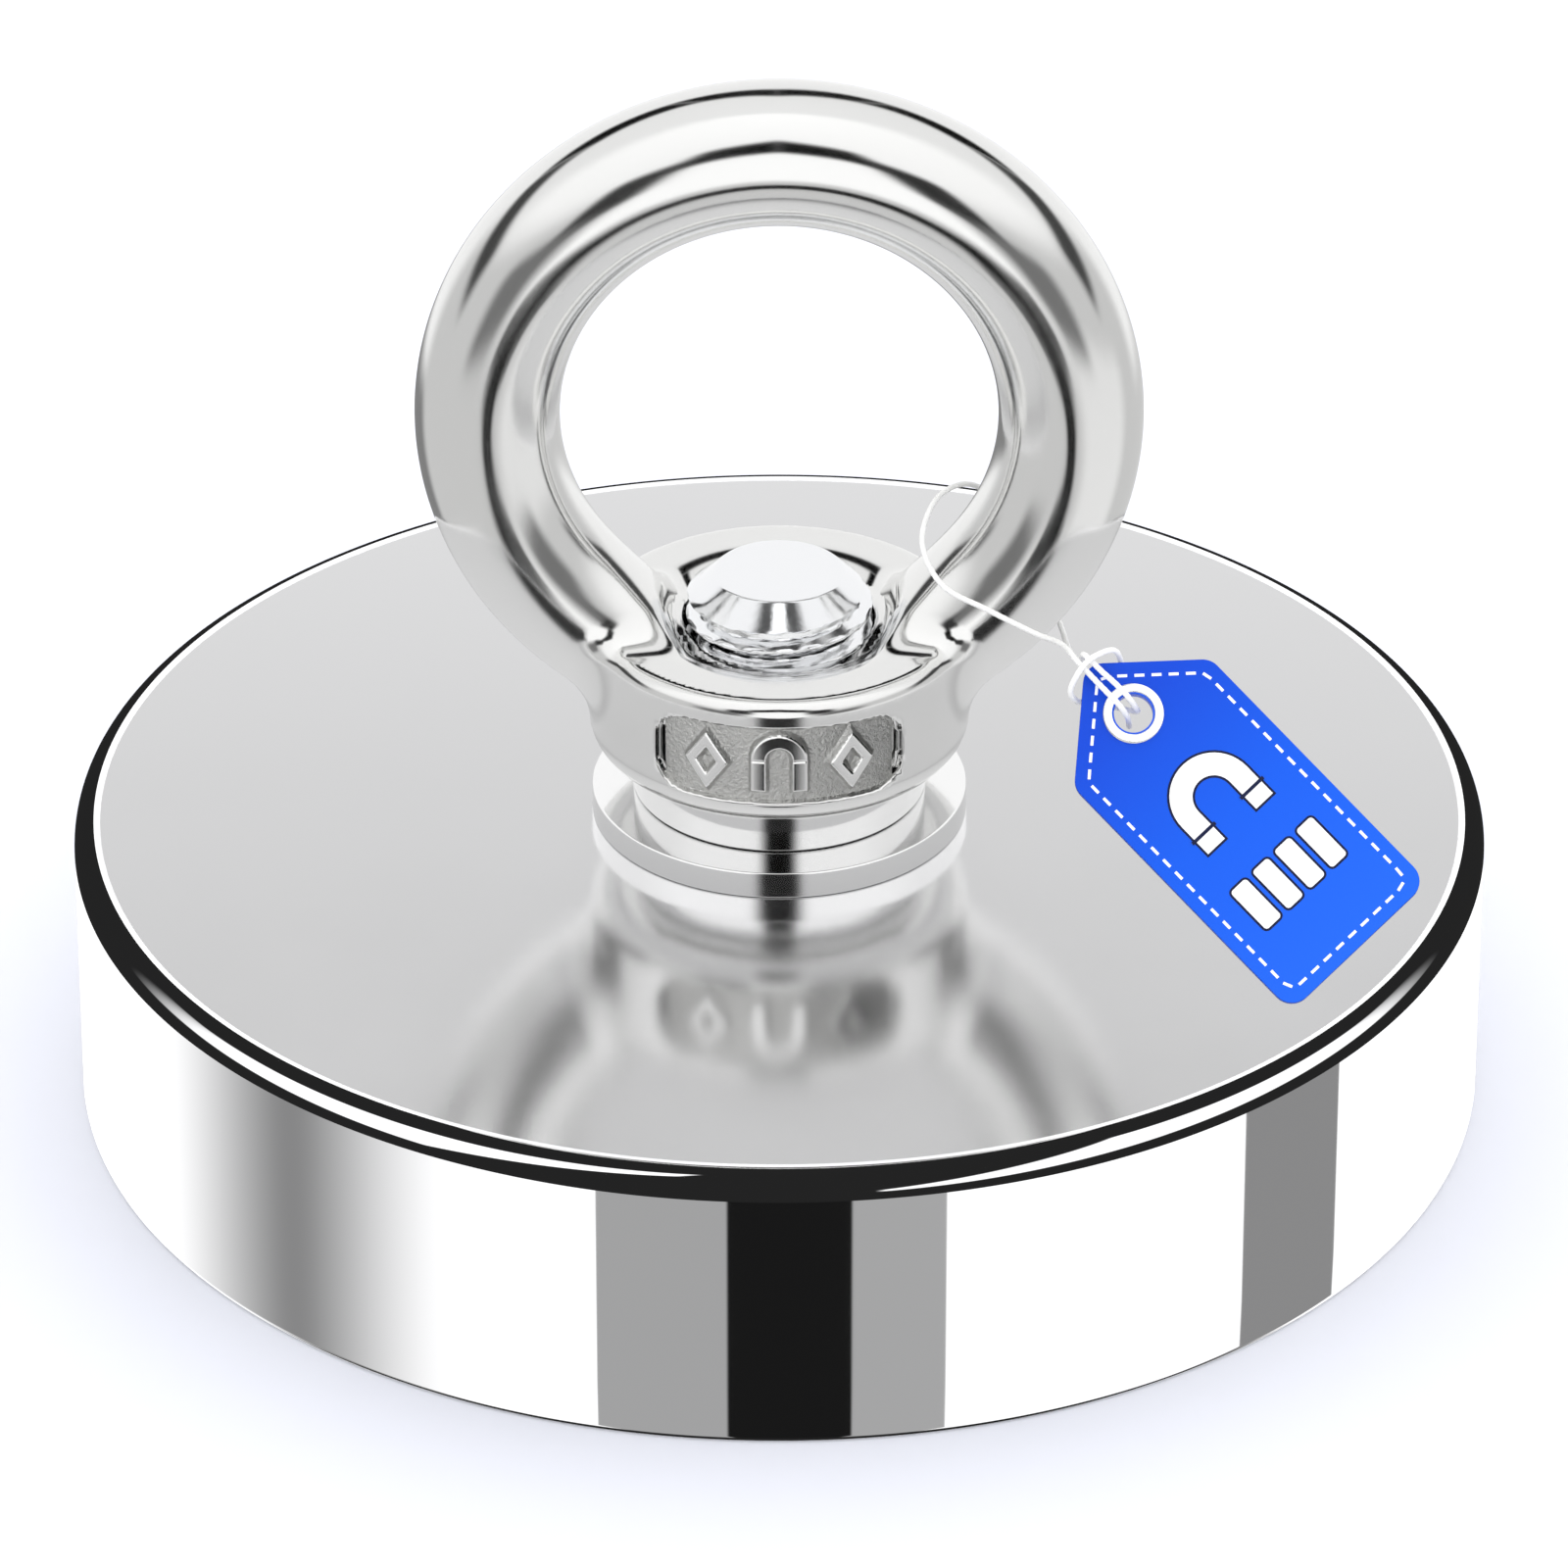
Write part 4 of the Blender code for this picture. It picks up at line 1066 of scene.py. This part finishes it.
# %% Rooms for the cup's edge and wall
ALL_ROUND = (-200, 200)
ALL_UP = (-91, 91)
room("room_for_the_edge", ["cup_rounded_edge"], 0.02, [
    ("front", (-104, -54), (-2, -3), (26, 46), (26, 0.5, 3, 4), 1.5),
    ("front", (-54, -19), (-3, 50), (46, 64), (0.5, 2, 3, 4), 1.5),
    ("front", (15, 60), (-6, -3), (-2, 42), (2, 0.5, 3, 4), 1.5),
    ("front", (60, 108), (-3, -2), (42, 26), (0.5, 26, 3, 4), 1.5),
])
room("room_for_the_wall", ["cup_wall"], 1.35, [
    ("front", (-104, -68), *ALL_UP, (46, 44, 1, 1), 0.22),
    ("front", (-29.4, -8), *ALL_UP, (0.3, 0.3, 1, 1), 0.42),
    ("front", (11, 26.8), *ALL_UP, (0.3, 0.3, 1, 1), 0.44),
    ("front", (-8.3, 11.6), *ALL_UP, (0.6, 0.6, 1, 1), 0.011),
    ("front", (80.8, 102.6), *ALL_UP, (0.4, 0.4, 1, 1), 0.29),
    ("behind", (-8, 8), *ALL_UP, (6, 6, 1, 1), 0.5),
    ("front", ALL_ROUND, -91, -52, (1, 1, 1, 8), 0.02),
])

# %% [markdown]
# The top face looks at a light grey wall behind the magnet, which darkens upwards. A narrow black panel in
# front of it is seen only by way of the nut and the washers.

# %% Rooms for the top face and its land
under_the_top = ["ring_magnet_plated", "potting_outer_resin", "potting_inner_resin"]
room("room_for_the_top", ["cup_top_face", *under_the_top], 0.9, [
    ("front", ALL_ROUND, -91, -12, (1, 1, 1, 10), 1.1),
    ("front", ALL_ROUND, 37, 91, (1, 1, 8, 1), (0.85, 1.0)),
    ("front", ALL_ROUND, 24, 36, (1, 1, 2, 3), (1.115, 0.443)),
    ("front", (-13, 13), 4, 52, (8, 8, 6, 12), 0.012),
])
room("room_for_the_land", ["cup_ground_land", "tag_eyelet_flange", "tag_eyelet_back"], 1.5, [])

# %% [markdown]
# The washers have a narrow black panel in front, which draws the dark patch at their middle, and white ones
# beside it. The rest of their room is white.

# %% Room for the washers
room("room_for_the_washers", ["flat_washer_tumbled", "lock_washer_split"], 1.18, [
    ("front", (16, 80), *ALL_UP, (20, 40, 1, 1), 1.3),
    ("front", (-80, -16), *ALL_UP, (40, 20, 1, 1), 1.3),
    ("front", (-13, 13), -91, 55, (12, 12, 1, 10), 0.0),
])

# %% [markdown]
# The eye nut is round every way, so it mirrors the whole of its room, like a ball. The black lines that run
# along the ring come from narrow dark panels: an arch over the front of the ring, and a lower arch all the
# way behind it. Above them the room is white, and below them it's light grey. Each arch is made of a few
# straight panels. Two dark bars crossed low down in front draw the black arcs on the ring's lower half.

# %% Room for the eye nut
right_half = [
    ("behind", (0, 22), (39, 33), (57, 49), (1, 4, 5, 6), 0.0),
    ("behind", (22, 52), (33, 22), (49, 39), (4, 6, 6, 6), 0.0),
    ("behind", (52, 98), (20, -1), (38, 15), (6, 14, 8, 8), 0.06),
    ("front", (0, 18), (28, 18), (47, 36), (1, 6, 6, 6), 0.0),
    ("front", (15, 31), (2, -5), (30, 24), (6, 6, 8, 8), 0.03),
    ("front", (22, 48), (-18, -14), (4, 6), (10, 14, 8, 8), 0.2),
]
arches = list(right_half)
for wall, (start, end), low, high, (left, right, *rest), tones in right_half:
    arches.append((wall, (-end, -start), low[::-1], high[::-1], (right, left, *rest), tones))
room("room_for_the_eye_nut", ["eye_nut_cast"], 0.68, [
    ("front", ALL_ROUND, 15, 91, (1, 1, 16, 1), (0.92, 1.0)),
    ("behind", (-58, 58), -18, 34, (24, 24, 10, 10), (1.05, 1.0)),
    ("front", (-88, 88), 20, 91, (30, 30, 20, 1), (1.1, 1.25)),
    ("front", (20, 90), -60, -10, (20, 20, 1, 10), (0.95, 0.9)),
    ("behind", (-60, 0), -60, -20, (20, 20, 1, 8), 0.25),
    ("front", (-16, 16), -18, 26, (8, 8, 8, 6), 1.2),
    *arches,
    ("front", (-11, 14), (-37, -23), (-31, -17), (3, 3, 3, 3), 0.0),
    ("front", (-14, 11), (-23, -37), (-17, -31), (3, 3, 3, 3), 0.0),
])

# %% [markdown]
# The screw's end is bright zinc, nearly white, so its room is white with upright dark strips at the sides
# and in front, which draw the chamfer and the thread. The panel's room is white too, dark on the right, so
# that each raised mark has a black side. The tag's is dark with one soft box, because its print must keep
# its colour.

# %% Rooms for the screw, the panel and the tag
room("room_for_the_screw", ["screw_thread", "screw_head"], 1.02, [
    ("front", (16, 46), 36, 78, (12, 22, 8, 8), 0.1),
    ("front", (-46, -16), 36, 78, (22, 12, 8, 8), 0.1),
    ("front", (-14, 14), 30, 78, (12, 12, 8, 8), 1.4),
    ("front", (92, 118), *ALL_UP, (14, 14, 1, 1), 0.1),
    ("front", (-118, -92), *ALL_UP, (14, 14, 1, 1), 0.1),
    ("front", (-91, 91), -35, -8, (20, 20, 6, 6), 0.03),
    ("front", ALL_ROUND, 80, 91, (1, 1, 6, 1), 0.04),
])
room("room_for_the_panel", ["eye_nut_panel"], 1.25, [
    ("front", (22, 125), *ALL_UP, (12, 20, 1, 1), 0.01),
    ("front", (-180, -60), *ALL_UP, (1, 20, 1, 1), 0.5),
])
tag_pieces = ["tag_card_laminated", "tag_border_ink", "tag_sign_outline_ink", "tag_sign_ink",
              "tag_sign_gaps_ink", "tag_eyelet_barrel", "tag_string_waxed"]
room("room_for_the_tag", tag_pieces, 0.05, [
    ("front", (-110, -30), 10, 70, (20, 20, 12, 12), 1.1),
])

# %% [markdown]
# The floor is plain and pale. Mirrors don't see it, because each has its room, and they don't see the tag
# and its eyelet either, so the metal stays clear of blue.

# %% Floor
FLOOR_HALF = 6.0
floor_mesh = bpy.data.meshes.new("floor")
corners = [(x * FLOOR_HALF, y * FLOOR_HALF, 0) for x, y in ((-1, -1), (1, -1), (1, 1), (-1, 1))]
floor_mesh.from_pydata(corners, [], [(0, 1, 2, 3)])
floor = bpy.data.objects.new("floor", floor_mesh)
link(floor)
pale_floor, _, _ = material(
    "floor_pale_paint", Base_Color=linear("E5E7F0"), Roughness=0.9, Specular_IOR_Level=0.1
)
floor_mesh.materials.append(pale_floor)
for name in ("floor", "tag_eyelet_flange", "tag_eyelet_back", *tag_pieces):
    bpy.data.objects[name].visible_glossy = False
print(f"floor: {2 * FLOOR_HALF:.0f} m across")

# %% [markdown]
# The view is plain sRGB, so that white stays white and the blue of the tag is the blue that was picked.

# %% View
bpy.context.scene.view_settings.view_transform = "Standard"
